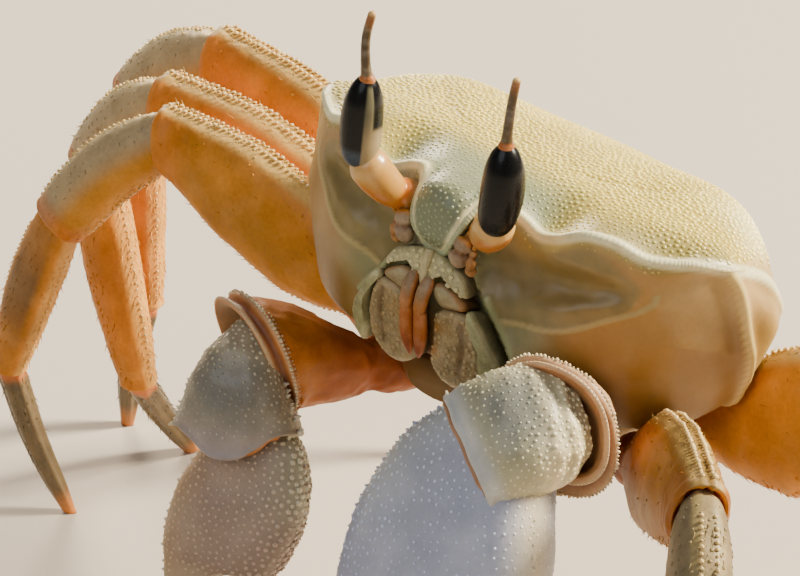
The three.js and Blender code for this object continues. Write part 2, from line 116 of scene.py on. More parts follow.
def smoothCurve(controls, t):  # centripetal spline through the control points
    p = np.asarray(controls, float)
    p = np.vstack([2 * p[0] - p[1], p, 2 * p[-1] - p[-2]])
    spans = len(p) - 3
    t = np.asarray(t, float) * spans
    i = np.clip(np.floor(t).astype(int), 0, spans - 1)
    w = (t - i)[..., None]
    p0, p1, p2, p3 = p[i], p[i + 1], p[i + 2], p[i + 3]
    d0, d1, d2 = (np.sqrt(np.linalg.norm(b - a, axis=-1, keepdims=True)) for a,
                  b in ((p0, p1), (p1, p2), (p2, p3)))
    m1 = ((p1 - p0) / d0 - (p2 - p0) / (d0 + d1) + (p2 - p1) / d1) * d1
    m2 = ((p2 - p1) / d1 - (p3 - p1) / (d1 + d2) + (p3 - p2) / d2) * d1
    return p1 + m1 * w + (3 * (p2 - p1) - 2 * m1 - m2) * w**2 + (2 * (p1 - p2) + m1 + m2) * w**3


def steadyCurve(xs, ys, x):  # smooth interpolation that never overshoots its points
    xs, ys = np.asarray(xs, float), np.asarray(ys, float)
    h, d = np.diff(xs), np.diff(ys) / np.diff(xs)
    m = np.zeros(len(xs))
    same = d[:-1] * d[1:] > 0
    m[1:-1][same] = 2 * d[:-1][same] * d[1:][same] / (d[:-1][same] + d[1:][same])
    m[0], m[-1] = d[0], d[-1]
    i = np.clip(np.searchsorted(xs, x) - 1, 0, len(xs) - 2)
    w = (x - xs[i]) / h[i]
    start = ys[i] * (1 + 2 * w) * (1 - w) ** 2 + h[i] * m[i] * w * (1 - w) ** 2
    return start + ys[i + 1] * w * w * (3 - 2 * w) + h[i] * m[i + 1] * w * w * (w - 1)


def linked(name, data):
    made = bpy.data.objects.new(name, data)
    bpy.context.scene.collection.objects.link(made)
    return made


def writeTint(mesh, tint):
    layer = mesh.color_attributes.new("tint", "FLOAT_COLOR", "POINT")
    paint = np.hstack([np.clip(tint, 0, 1), np.ones((len(tint), 1))])
    layer.data.foreach_set("color", paint.astype(np.float32).ravel())


def writeMask(mesh, key, values):  # a number or a direction for each point
    if np.ndim(values) == 2:
        layer = mesh.attributes.new(key, "FLOAT_VECTOR", "POINT")
        layer.data.foreach_set("vector", np.asarray(values @ leanTurn.T, np.float32).ravel())
    else:
        layer = mesh.attributes.new(key, "FLOAT", "POINT")
        layer.data.foreach_set("value", np.asarray(values, np.float32))


def meshPiece(name, points, faces, material, tint, masks, cornerUv):
    mesh = bpy.data.meshes.new(name)
    mesh.from_pydata(placed(points).tolist(), [], faces)
    mesh.update()
    writeTint(mesh, tint)
    for key, values in masks.items():
        writeMask(mesh, key, values)
    layer = mesh.uv_layers.new(name="skinMap")
    layer.data.foreach_set("uv", np.asarray(cornerUv, np.float32).ravel())
    mesh.polygons.foreach_set("use_smooth", [True] * len(mesh.polygons))
    mesh.materials.append(material)
    return linked(name, mesh)


def vertexNormals(points, faces):  # faces have four corners
    f = np.asarray(faces)
    normal = np.cross(points[f[:, 2]] - points[f[:, 0]], points[f[:, 3]] - points[f[:, 1]])
    out = np.zeros_like(points)
    for k in range(4):
        np.add.at(out, f[:, k], normal)
    return unit(out)


def ringFaces(rows, sides):
    i, j = np.meshgrid(np.arange(sides), np.arange(rows - 1))
    a, b = j * sides + i, j * sides + (i + 1) % sides
    faces = np.stack([a, b, b + sides, a + sides], -1).reshape(-1, 4)
    u0, u1, v0, v1 = i / sides, (i + 1) / sides, j / (rows - 1), (j + 1) / (rows - 1)
    corners = [np.stack(corner, -1) for corner in ((u0, v0), (u1, v0), (u1, v1), (u0, v1))]
    return faces, np.stack(corners, -2).reshape(-1, 2)


def ringCaps(rows, sides, first, last):  # triangles from the end rings to the points first and last
    ring = np.arange(sides)
    following = (ring + 1) % sides
    end = (rows - 1) * sides
    return np.vstack([np.stack([np.full(sides, first), following, ring], -1),
                      np.stack([np.full(sides, last), end + ring, end + following], -1)])


def fullRows(stations):  # a row may leave out its last values where they repeat the one before
    return np.array([[*row, *[row[-1]] * (4 - len(row))] for row in stations], float)


class Loft:
    # a closed skin through rings along a curve; stations are [place, half thickness, reach up, reach down]
    def __init__(self, line, stations, upHint, sides=48, perSpan=8, square=0.85):
        table = fullRows(stations)
        index = np.arange(len(table))
        s = np.linspace(0, len(table) - 1, (len(table) - 1) * perSpan + 1)
        place, thick, up, down = (steadyCurve(index, table[:, k], s) for k in range(4))
        t = clamp01(place)
        centre = smoothCurve(line, t)
        tangent = unit(smoothCurve(line, np.minimum(t + 0.01, 1))
                       - smoothCurve(line, np.maximum(t - 0.01, 0)))
        length = np.linalg.norm(np.diff(smoothCurve(line, np.linspace(0, 1, 40)), axis=0), axis=1).sum()
        centre = centre + tangent * ((place - t) * length)[:, None]
        hint = np.broadcast_to(np.asarray(upHint, float), tangent.shape)
        upward = unit(hint - tangent * (hint * tangent).sum(-1, keepdims=True))
        across = np.cross(upward, tangent)
        angle = 2 * math.pi * (np.arange(sides) + 0.5) / sides
        c, r = np.cos(angle), np.sin(angle)
        wide = np.sign(c) * np.abs(c) ** square
        high = np.sign(r) * np.abs(r) ** square
        rise = np.where(r > 0, up[:, None], down[:, None]) * high
        aside = across[:, None] * (thick[:, None] * wide)[..., None]
        self.points = centre[:, None] + aside + upward[:, None] * rise[..., None]
        self.rows, self.sides, self.length = len(s), sides, length
        self.place = np.repeat(place[:, None], sides, 1)
        self.angle = np.repeat(np.degrees(angle)[None], len(s), 0)  # 90 is the upper edge, 0 the +across side
        self.sine, self.cosine = np.sin(np.radians(self.angle)), np.cos(np.radians(self.angle))
        self.s = np.repeat(s[:, None], sides, 1)
        self.centre, self.tangent, self.across = centre, tangent, across
        self.faces, self.uv = ringFaces(self.rows, sides)
        self.tint = np.zeros(self.points.shape)
        self.masks = {}

    def normals(self):
        flat = self.points.reshape(-1, 3)
        return vertexNormals(flat, self.faces).reshape(self.points.shape)

    def push(self, offset):
        self.points = self.points + self.normals() * np.asarray(offset)[..., None]

    def near(self, degrees, width):  # 1 on one line along the limb, fading to the sides
        gap = (self.angle - degrees + 180) % 360 - 180
        return bell(gap / width)

    def piece(self, name, material):
        flat = self.points.reshape(-1, 3)
        start, end = self.points[0].mean(0), self.points[-1].mean(0)
        points = np.vstack([flat, start, end])
        caps = ringCaps(self.rows, self.sides, len(flat), len(flat) + 1)
        tint = self.tint.reshape(-1, 3)
        tint = np.vstack([tint, tint[0], tint[-1]])
        masks = {}
        for key, values in self.masks.items():
            v = values.reshape(-1, 3) if values.ndim == 3 else values.ravel()
            masks[key] = np.concatenate([v, v[:1] * 0, v[:1] * 0])
        uv = np.vstack([self.uv, np.zeros((len(caps) * 3, 2))])
        return meshPiece(name, points, self.faces.tolist() + caps.tolist(), material, tint, masks, uv)

def addNode(tree, kind, inputs=None, **settings):  # an input is a value or another node's output
    node = tree.nodes.new(kind)
    for setting, value in settings.items():
        setattr(node, setting, value)
    for socket, value in (inputs or {}).items():
        if hasattr(value, "is_output"):
            tree.links.new(value, node.inputs[socket])
        else:
            node.inputs[socket].default_value = value
    return node


def addSockets(tree, way, kind, labels):
    for label, value in labels.items():
        socket = tree.interface.new_socket(label, in_out=way, socket_type="NodeSocket" + kind)
        if value is not None:
            socket.default_value = value


def sumsIn(tree):
    def sums(kind, *values):
        return addNode(tree, "ShaderNodeMath", dict(enumerate(values)), operation=kind).outputs[0]
    return sums


def vectorsIn(tree):
    def vectors(kind, inputs):
        return addNode(tree, "ShaderNodeVectorMath", inputs, operation=kind).outputs[0]
    return vectors


def makeSkinGroup():  # mottling, fine grain, worn patches and pores over a painted tint
    tree = bpy.data.node_groups.new("crabSkin", "ShaderNodeTree")
    addSockets(tree, "INPUT", "Color", {"Tint": None, "Worn tint": (0.8, 0.76, 0.6, 1)})
    addSockets(tree, "INPUT", "Float", {
        "Mottle size": 300.0, "Mottle": 0.2, "Grain size": 2500.0, "Grain": 0.15, "Worn": 0.1,
        "Roughness": 0.5,
        "Pores": 0.3, "Gain": 1.0})
    addSockets(tree, "OUTPUT", "Color", {"Color": None})
    addSockets(tree, "OUTPUT", "Float", {"Roughness": None, "Height": None})
    given = tree.nodes.new("NodeGroupInput").outputs
    place = tree.nodes.new("ShaderNodeTexCoord").outputs["Object"]
    sums, vectors = sumsIn(tree), vectorsIn(tree)

    def pattern(kind, size, output, **more):
        return addNode(tree, kind, {"Vector": place, "Scale": given[size], **more}).outputs[output]

    mottle = pattern("ShaderNodeTexNoise", "Mottle size", "Fac", Detail=3.0)
    grain = pattern("ShaderNodeTexNoise", "Grain size", "Fac", Detail=2.0)
    cells = pattern("ShaderNodeTexVoronoi", "Grain size", "Distance")
    swing = sums("MULTIPLY", sums("SUBTRACT", mottle, 0.5), given["Mottle"])
    fine = sums("MULTIPLY", sums("SUBTRACT", grain, 0.5), given["Grain"])
    level = sums("MULTIPLY_ADD", sums("ADD", swing, fine), 2.0, 1.0)
    shade = vectors("SCALE", {0: given["Tint"], "Scale": sums("MULTIPLY", level, given["Gain"])})
    wear = sums("MULTIPLY", sums("SUBTRACT", mottle, 0.45), given["Worn"])
    share = addNode(tree, "ShaderNodeClamp", {"Value": sums("MULTIPLY", wear, 5.0)}).outputs[0]
    blend = addNode(tree, "ShaderNodeMix", {0: share, 6: shade, 7: given["Worn tint"]}, data_type="RGBA")
    addNode(tree, "NodeGroupOutput", {
        "Color": blend.outputs[2],
        "Roughness": sums("MULTIPLY_ADD", grain, 0.25, sums("SUBTRACT", given["Roughness"], 0.125)),
        "Height": sums("ADD", sums("MULTIPLY", cells, given["Pores"]), sums("MULTIPLY", grain, 0.6))})
    return tree


skinGroup = makeSkinGroup()
bumpDepth = 0.00006


def skinMaterial(name, settings):
    material = bpy.data.materials.new(name)
    material.use_nodes = True
    tree = material.node_tree
    tint = addNode(tree, "ShaderNodeAttribute", attribute_name="tint")
    group = addNode(tree, "ShaderNodeGroup", {"Tint": tint.outputs["Color"], **settings["skin"]},
                    node_tree=skinGroup)
    bump = addNode(tree, "ShaderNodeBump", {
        "Strength": settings["bump"], "Distance": bumpDepth, "Height": group.outputs["Height"]})
    shader = tree.nodes["Principled BSDF"]
    for socket, value in settings["shader"].items():
        shader.inputs[socket].default_value = value
    for output, socket in ((group.outputs["Color"], "Base Color"), (group.outputs["Roughness"], "Roughness"),
                           (bump.outputs["Normal"], "Normal")):
        tree.links.new(output, shader.inputs[socket])
    return material


def fleshy(weight, scale=0.0015, radius=(1.0, 0.55, 0.25)):
    return {"Subsurface Weight": weight, "Subsurface Radius": radius, "Subsurface Scale": scale}


def coated(weight, roughness):
    return {"Coat Weight": weight, "Coat Roughness": roughness}


shellMaterial = skinMaterial("shell", {
    "shader": {**fleshy(0.12), **coated(0.12, 0.3)},
    "skin": {"Mottle size": 260.0, "Mottle": 0.16, "Grain size": 2600.0, "Grain": 0.1, "Roughness": 0.46,
             "Worn": 0.05, "Pores": 0.3},
    "bump": 0.3})
# Gain makes the beads brighter than the skin they sit on: partly their own pale colour, partly painted glint
beadMaterial = skinMaterial("beads", {
    "shader": {**fleshy(0.2, 0.0008), **coated(0.6, 0.2)},
    "skin": {"Mottle size": 400.0, "Mottle": 0.16, "Grain size": 4000.0, "Grain": 0.05, "Roughness": 0.3,
             "Worn": 0.0, "Pores": 0.1, "Gain": 1.75},
    "bump": 0.1})
legMaterial = skinMaterial("leg", {
    "shader": {**fleshy(0.12, 0.002, (1.0, 0.6, 0.25)), **coated(0.05, 0.35), "Specular IOR Level": 0.32},
    "skin": {"Mottle size": 420.0, "Mottle": 0.3, "Grain size": 3000.0, "Grain": 0.22, "Roughness": 0.52,
             "Worn": 0.06, "Pores": 0.5, "Worn tint": (0.72, 0.5, 0.24, 1)},
    "bump": 0.45})
clawMaterial = skinMaterial("claw", {
    "shader": {**fleshy(0.12, 0.0012), **coated(0.12, 0.3)},
    "skin": {"Mottle size": 330.0, "Mottle": 0.16, "Grain size": 2800.0, "Grain": 0.12, "Roughness": 0.44,
             "Worn": 0.05, "Pores": 0.5},
    "bump": 0.4})
mouthMaterial = skinMaterial("mouth", {
    "shader": {**fleshy(0.15), "Specular IOR Level": 0.4},
    "skin": {"Mottle size": 700.0, "Mottle": 0.4, "Grain size": 5000.0, "Grain": 0.35, "Roughness": 0.5,
             "Worn": 0.08},
    "bump": 0.5})
mouthGrainMaterial = skinMaterial("mouthGrain", {
    "shader": {**fleshy(0.2, 0.0008), **coated(0.4, 0.2)},
    "skin": {"Mottle size": 700.0, "Mottle": 0.3, "Grain size": 5000.0, "Grain": 0.1, "Roughness": 0.35,
             "Worn": 0.0, "Gain": 1.4},
    "bump": 0.1})
stalkMaterial = skinMaterial("stalk", {
    "shader": {**fleshy(0.35, 0.0018, (1.0, 0.45, 0.15)), **coated(0.3, 0.15)},
    "skin": {"Mottle size": 900.0, "Mottle": 0.2, "Grain size": 5000.0, "Grain": 0.1, "Roughness": 0.32,
             "Worn": 0.0},
    "bump": 0.12})
corneaMaterial = skinMaterial("cornea", {
    "shader": {**coated(0.12, 0.1), "Specular IOR Level": 0.16},
    "skin": {"Mottle size": 500.0, "Mottle": 0.2, "Grain size": 9000.0, "Grain": 0.05, "Roughness": 0.3,
             "Worn": 0.0, "Pores": 0.1},
    "bump": 0.03})
hornMaterial = skinMaterial("horn", {
    "shader": {**fleshy(0.1, 0.0008), **coated(0.2, 0.25)},
    "skin": {"Mottle size": 1500.0, "Mottle": 0.35, "Grain size": 7000.0, "Grain": 0.3, "Roughness": 0.42,
             "Worn": 0.1},
    "bump": 0.3})
footMaterial = skinMaterial("foot", {
    "shader": {**coated(0.25, 0.25)},
    "skin": {"Mottle size": 700.0, "Mottle": 0.35, "Grain size": 3600.0, "Grain": 0.3, "Roughness": 0.42,
             "Worn": 0.1, "Worn tint": (0.35, 0.22, 0.1, 1)},
    "bump": 0.4})
bristleMaterial = skinMaterial("bristle", {
    "shader": fleshy(0.2, 0.0006),
    "skin": {"Mottle size": 800.0, "Mottle": 0.4, "Grain": 0.1, "Roughness": 0.5, "Worn": 0.0},
    "bump": 0.0})

# the body is one skin, found along rays from its middle
body = {"centre": (0, -1, -9), "halfWidth": 19.7, "rearEdge": 16.3, "floor": -16.8, "cells": 126,
        "edgeDrop": 1.5, "frontDrop": 2.1, "rearDrop": 9.2, "shoulder": 1.35, "eyeSaddle": 1.9,
        "gutter": 0.95, "browMiddle": -16.6, "browSweep": 7.4, "rayStep": 0.4}
eyeSocket = {"inner": (5.5, -17.2, -7.3), "run": (7.5, 2.7, 1.5), "radii": (1.4, 1.1, 1.05), "deep": 2.3}
frontLobe = {"middle": (-15.7, -4.4), "radii": (2.4, 2.65, 2.6), "taper": 0.9}
bodyCentre = np.array(body["centre"], float)


def outlineHalf(y):
    rear = 0.74 * (np.hypot(above(y + 3.5), 2) - 2)
    return body["halfWidth"] - rear - 0.016 * above(-3 - y) ** 2


def crown(x, y):
    edgeDrop = body["edgeDrop"] + 0.22 * above(y + 9.4)
    across = np.minimum(1.3, x / np.maximum(6, outlineHalf(y))) ** 2.6
    frontDrop = body["frontDrop"] * (above(-3 - y) / 13.8) ** 1.8
    rearDrop = body["rearDrop"] * (above(y + 4) / 20) ** 1.9
    eyeSaddle = body["eyeSaddle"] * bell((x - 7.2) / 2.4) * smooth01((-10 - y) / 5)
    # the margin dips behind the outer corner
    gutter = body["gutter"] * bell((x - 15.2) / 2.2) * smooth01((brow(x) + 4 - y) / 4)
    shoulder = body["shoulder"] * bell((x - 13) / 5.3) * bell((y - 1) / 5.5)
    return shoulder - edgeDrop * across - frontDrop - rearDrop - eyeSaddle - gutter


def brow(x):
    sweep = body["browMiddle"] + body["browSweep"] * (above(x - 3) / 16.2) ** 1.9
    return sweep + 1.3 * bell((x - 6.2) / 2.6) - 1.4 * bell((x - 19.4) / 1.5)


def faceWall(x, z):
    slope = (0.33 + 0.27 * (x / 19.8) ** 2) * above(-9 - z)
    return -17.3 + 11 * np.minimum(1.2, x / 19.8) ** 3.4 + slope


def socketDepth(x, y, z):
    startX, startY, startZ = eyeSocket["inner"]
    runX, runY, runZ = eyeSocket["run"]
    wide, long, high = eyeSocket["radii"]
    run = clamp01((x - startX) / runX)
    aside = (x - startX - runX * run) / wide
    ahead = (y - startY - runY * run) / long
    upward = (z - startZ - runZ * run) / (high - 0.35 * run)
    return np.sqrt(aside ** 2 + ahead ** 2 + upward ** 2) - eyeSocket["deep"] + run


def bodyField(p):
    x, y, z = np.abs(p[..., 0]), p[..., 1], p[..., 2]
    tuck = 9 * (above(-9 - z) / 12) ** 2.6
    swell = 1.2 * bell((z + 7.5) / 3.2)
    field = softMax(z - crown(x, y), x - outlineHalf(y) - swell + tuck, 0.9 + 3.6 * smooth01((y + 9.5) / 5))
    field = softMax(field, brow(x) - y, 0.6 + 2.2 * bell(x / 3.4))
    field = softMax(field, faceWall(x, z) - y, 1.2)
    field = softMax(field, y - body["rearEdge"] + 0.02 * above(-8 - z) ** 2, 2.5)
    field = softMax(field, body["floor"] + 2.3 * smooth01((y + 8) / 6) - z, 1.6)
    field = softMax(field, -socketDepth(x, y, z), 0.9)
    mouthHalf = np.minimum(6.9, 3.7 + 0.72 * above(-9.4 - z))
    mouthWall = softMax(x - mouthHalf, softMax(z + 9.0, -17.6 - z, 0.5), 0.5)
    field = softMax(field, -softMax(mouthWall, y - faceWall(x, z) - 2.1, 0.3), 0.3)
    (lobeY, lobeZ), (wide, long, high) = frontLobe["middle"], frontLobe["radii"]
    narrow = frontLobe["taper"] * clamp01((lobeZ - z) / 2.5) ** 1.6  # the lobe narrows to a blunt tip
    reach = ((x / (wide - narrow)) ** 3 + (np.abs(y - lobeY) / long) ** 3
             + (np.abs(z - lobeZ) / high) ** 3) ** (1 / 3)
    return softMin(field, (reach - 1) * wide, 0.9)


def rayHit(ways):
    reach = np.full(len(ways), 4.0)
    busy = np.ones(len(ways), bool)
    for _ in range(60):
        hit = bodyField(bodyCentre + ways[busy] * reach[busy, None]) >= 0
        live = np.where(busy)[0][~hit]
        busy[:] = False
        busy[live] = True
        if not len(live):
            break
        reach[live] += body["rayStep"]
    low, high = reach - body["rayStep"], reach
    for _ in range(13):
        middle = (low + high) / 2
        inside = bodyField(bodyCentre + ways * middle[:, None]) < 0
        low, high = np.where(inside, middle, low), np.where(inside, high, middle)
    return low


def onBody(points, lift=0.0):
    ways = unit(np.asarray(points, float) - bodyCentre)
    return bodyCentre + ways * (rayHit(ways) + lift)[:, None]


def cubeGrid(cells):
    line = np.tan(np.linspace(-0.75, 0.75, cells + 1))
    u, v = np.meshgrid(line, line)
    one = np.full_like(u, math.tan(0.75))
    sheets = [(one, u, v), (-one, -u, v), (-u, one, v), (u, -one, v), (-v, u, one), (v, u, -one)]
    points, faces, uv = [], [], []
    side = cells + 1
    i, j = np.meshgrid(np.arange(cells), np.arange(cells))
    a = j * side + i
    quad = np.stack([a, a + 1, a + side + 1, a + side], -1).reshape(-1, 4)
    for k, sheet in enumerate(sheets):
        points.append(np.stack(sheet, -1).reshape(-1, 3))
        faces.append(quad + k * side * side)
        ox, oy = (k % 3) / 3, (k // 3) / 2
        across, along = (quad % side) / cells, (quad // side) / cells
        uv.append(np.stack([ox + across * 0.32, oy + along * 0.48], -1).reshape(-1, 2))
    points, faces, uv = np.vstack(points), np.vstack(faces), np.vstack(uv)
    keys = np.round(points * 1e5).astype(np.int64)
    _, first, back = np.unique(keys, axis=0, return_index=True, return_inverse=True)
    return unit(points[first]), back.ravel()[faces], uv


def nearest(points, line):  # distance to a sampled curve, and how far along it
    best, where = np.full(len(points), 1e9), np.zeros(len(points))
    for k, spot in enumerate(line):
        d = np.linalg.norm(points - spot, axis=1)
        closer = d < best
        best[closer], where[closer] = d[closer], k / (len(line) - 1)
    return best, where


def mirrored(controls):
    c = np.asarray(controls, float)
    return [c, c * [-1, 1, 1]]


browXs = np.array([3.3, 4.4, 5.6, 7.0, 8.6, 10.5, 12.5, 14.5, 16.3, 17.8])
browLine = np.stack([browXs, brow(browXs) + 0.2, crown(browXs, brow(browXs) + 0.2)], -1)
frontLine = np.vstack([[(0.0, -18.4, -7.1), (0.9, -18.3, -6.8), (1.6, -18.2, -5.9), (2.1, -18.1, -4.6),
                        (2.4, -17.6, -3.3)], browLine,
                       [(18.8, -8.6, -2.5), (18.9, -6.0, -3.0), (19.1, -4.2, -3.5), (19.5, -2.8, -4.2),
                        (20.1, -1.6, -5.3), (20.6, 0.6, -6.6), (20.4, 4.0, -7.4), (19.6, 8.0, -7.8)]])
paleRim = tone(238, 232, 196)
ridges = {  # raised lines of the shell: path, swelling, width and colour
    "front": {"line": frontLine, "high": 0.42, "wide": 0.62, "tint": paleRim},
    "corner": {"line": [(18.6, -8.2, -2.7), (19.2, -7.1, -3.9), (19.6, -6.5, -5.2), (20.1, -5.5, -7.8),
                        (20.1, -4.2, -10.4), (19.2, -3.0, -13.0), (18.0, -2.2, -15.5)],
               "high": 0.6, "wide": 0.5, "tint": tone(222, 200, 146)},
    "underEye": {"line": [(3.9, -16.6, -11.0), (5.9, -16.2, -11.0), (8.3, -15.8, -10.4),
                          (10.6, -15.0, -9.7), (12.2, -14.0, -8.7), (13.4, -13.0, -7.7),
                          (14.5, -11.8, -6.8), (14.7, -11.0, -6.0), (14.4, -10.8, -5.2)],
                 "high": 0.1, "wide": 0.3, "tint": tone(176, 160, 118)},
    "mouthInner": {"line": [(3.2, -17.6, -6.9), (3.5, -17.6, -8.8), (4.6, -17.0, -10.6),
                            (5.8, -16.2, -12.4), (6.8, -15.6, -14.0), (7.2, -14.6, -16.4)],
                   "high": 0.3, "wide": 0.45, "tint": tone(172, 172, 134)},
    "mouthOuter": {"line": [(4.6, -17.3, -9.2), (5.8, -16.7, -10.9), (6.9, -16.0, -12.4),
                            (7.9, -15.4, -14.2)],
                   "high": 0.25, "wide": 0.35, "tint": tone(160, 160, 122)},
}
grooves = [  # shallow ones over the back and dark clefts above the mouth: path, depth, width, darkness of the painted shade in it
    ([(4.5, -9.5, 0), (8.5, -7.5, 0), (11.5, -3.5, 0), (10.5, 1.0, 0)], 0.16, 0.5, 0.12),
    ([(3.2, 5.5, 0), (6.5, 4.5, 0), (9.5, 6.0, 0)], 0.2, 0.8, 0.08),
    ([(0.4, -17.4, -9.3), (1.6, -17.4, -9.1), (3.0, -17.2, -9.6)], 0.3, 0.45, 0.9),
    ([(2.9, -17.0, -3.0), (2.7, -17.4, -4.8), (2.0, -17.8, -6.6)], 0.3, 0.35, 0.6),
]


def buildBody():
    ways, faces, uv = cubeGrid(body["cells"])
    reach = rayHit(ways)
    points = bodyCentre + ways * reach[:, None]
    if np.einsum("ij,ij->i", vertexNormals(points, faces), ways).mean() < 0:
        faces = faces[:, ::-1]
        uv = uv.reshape(-1, 4, 2)[:, ::-1].reshape(-1, 2)
    x, y, z = np.abs(points[:, 0]), points[:, 1], points[:, 2]
    back = 1 - smooth01((crown(x, y) - z - 0.35) / 0.9)
    front = smooth01((-2 - y) / 3)
    inSocket = (1 - smooth01((socketDepth(x, y, z) - 0.05) / 0.6)) * (1 - back)

    tint = np.zeros_like(points) + tone(178, 154, 108)
    ochre = tone(158, 126, 84) * (1 + 0.12 * ripple(points, 7, 3)[:, None])
    tint = mix(tint, ochre, front * (1 - back))
    # darker low on the cheek: painted shade
    tint = mix(tint, tone(114, 94, 52), 0.75 * bell((x - 12) / 6) * bell((z + 14.5) / 3.5) * front)
    tint = mix(tint, tone(206, 176, 130), 0.6 * smooth01((z + 7.5) / 3) * smooth01((x - 15) / 3) * front
               * (1 - back))
    tint = mix(tint, tone(142, 138, 104), smooth01((11.5 - x) / 4.5) * smooth01((z + 14.5) / 3) * front
               * (1 - back))
    line = smoothCurve(ridges["underEye"]["line"], np.linspace(0, 1, 60))
    under = np.interp(x, line[:52, 0], line[:52, 2])  # height of the row of granules below the eye
    panel = smooth01((z - under + 0.1) / 0.35) * smooth01((15.1 - x) / 0.5) * front * (1 - back)
    panel = panel * smooth01((x - 3.4) / 1)
    # it runs to a point at the groove's tip
    panel = panel * smooth01((0.6 * above(14.8 - x) - 4.6 - z) / 0.7)
    tint = mix(tint, tone(134, 120, 84) * (1 + 0.1 * ripple(points, 1.8, 5)[:, None]), 0.9 * panel)
    tint = mix(tint, tone(120, 106, 72), 0.4 * inSocket * panel)
    tint = mix(tint, tone(176, 150, 84), 0.6 * bell((x - 6.5) / 1.8) * smooth01((z + 6.5) / 2) * front
               * (1 - back))
    backTint = mix(np.broadcast_to(tone(208, 190, 122), points.shape), tone(222, 200, 132),
                   smooth01((y + 2) / 14))
    # bright cream over the outer rear of the shell: painted sunlight
    backTint = mix(backTint, tone(255, 244, 196), 0.9 * smooth01((x - 11) / 5) * smooth01((y + 6) / 5))
    # darker olive behind the brow: partly the shell's own olive, partly painted shade
    backTint = mix(backTint, tone(146, 136, 92), 0.9 * smooth01((brow(x) + 5.5 - y) / 4.5)
                   * smooth01((x - 8) / 3))
    backTint = mix(backTint, tone(142, 148, 120), smooth01((-9.0 - y) / 4.5) * smooth01((9.5 - x) / 4))
    backTint = backTint * (1 + 0.05 * ripple(points, 7, 8)[:, None])
    tint = mix(tint, backTint, back)
    underneath = smooth01((-13.5 - z) / 2) * (1 - front)
    tint = mix(tint, tone(200, 168, 112), underneath)
    # darker brown under the mouth and low on the front: painted shade
    tint = mix(tint, tone(112, 82, 52), smooth01((-15.0 - z) / 1.5) * front * smooth01((9 - x) / 3))
    tint = mix(tint, tone(128, 98, 56), 0.7 * smooth01((-12.5 - z) / 2.5) * front * smooth01((x - 8) / 3))
    onLobe = bell(x / 2.6) * smooth01((z + 7.6) / 0.8) * smooth01((-14.5 - y) / 1.5)
    tint = mix(tint, tone(134, 140, 116), smooth01(1.6 * onLobe))

    push = np.zeros(len(points))
    ridgeCover = np.zeros(len(points))
    for name, ridge in ridges.items():
        for line in mirrored(ridge["line"]):
            sampled = onBody(smoothCurve(line, np.linspace(0, 1, 160 if name == "front" else 60)))
            gap, along = nearest(points, sampled)
            ends = smooth01(along / 0.06 + (1.0 if name == "front" else 0.0)) * smooth01((1 - along) / 0.08)
            share = bell(gap / ridge["wide"]) * ends
            push = np.maximum(push, ridge["high"] * share)
            tint = mix(tint, ridge["tint"], smooth01((share - 0.3) / 0.5))
            if name in ("front", "corner"):
                ridgeCover = np.maximum(ridgeCover, bell(gap / 0.62))
    for controls, deep, wide, dark in grooves:
        for line in mirrored(controls):
            gap, along = nearest(points, onBody(smoothCurve(line, np.linspace(0, 1, 40))))
            share = bell(gap / wide) * smooth01(along / 0.15) * smooth01((1 - along) / 0.15)
            push -= deep * share
            # each groove is painted darker: painted shade in it
            tint = mix(tint, tone(70, 48, 26), dark * share)
    push += 0.05 * ripple(points, 5, 21) * (1 - back) + 0.04 * inSocket * ripple(points, 1.6, 31)
    points = points + ways * push[:, None]

    hush = smooth01((ridgeCover - 0.25) / 0.3)
    beads = np.maximum(back, smooth01(1.5 * onLobe)) * (1 - hush) * smooth01((14.5 - y) / 3)
    beadScale = 0.55 + 0.45 * smooth01((y + 14) / 7)
    tint = tint * (1 - 0.14 * beads[:, None])  # the skin is darker between the beads: partly its own darker ground, partly painted shade
    masks = {"beads": beads, "beadScale": beadScale}
    print("body skin", len(points), "points")
    return meshPiece("carapace", points, faces.tolist(), shellMaterial, tint, masks, uv)


cord = {"radius": 0.3, "steps": 220, "stripe": 0.34, "farTint": tone(222, 200, 150),
        "nearTint": tone(176, 180, 148)}


def browCord(name, line):
    # a raised cord lying on the shell's front edge, finely striped across; it thins and warms at its far end
    where = np.linspace(0, 1, cord["steps"])
    path = onBody(smoothCurve(line, where), 0.12)
    ends = np.maximum(0.25, smooth01((1 - where) / 0.06))
    thick = cord["radius"] * ends * (1 - 0.6 * smooth01((where - 0.62) / 0.2))
    rim = Loft(path, np.stack([where, thick * 1.25, thick, thick], -1), (0, -0.6, 1), sides=12, perSpan=2,
               square=1.0)
    rim.push(0.02 * np.cos(rim.place * rim.length * 2 * math.pi / cord["stripe"]))
    tint = mix(paleRim, cord["nearTint"], smooth01((0.24 - rim.place) / 0.1))
    tint = mix(tint, cord["farTint"], smooth01((rim.place - 0.6) / 0.2))
    rim.tint[:] = tint * (1 + 0.05 * ripple(rim.points, 2, 88)[..., None])
    return rim.piece(name, shellMaterial)


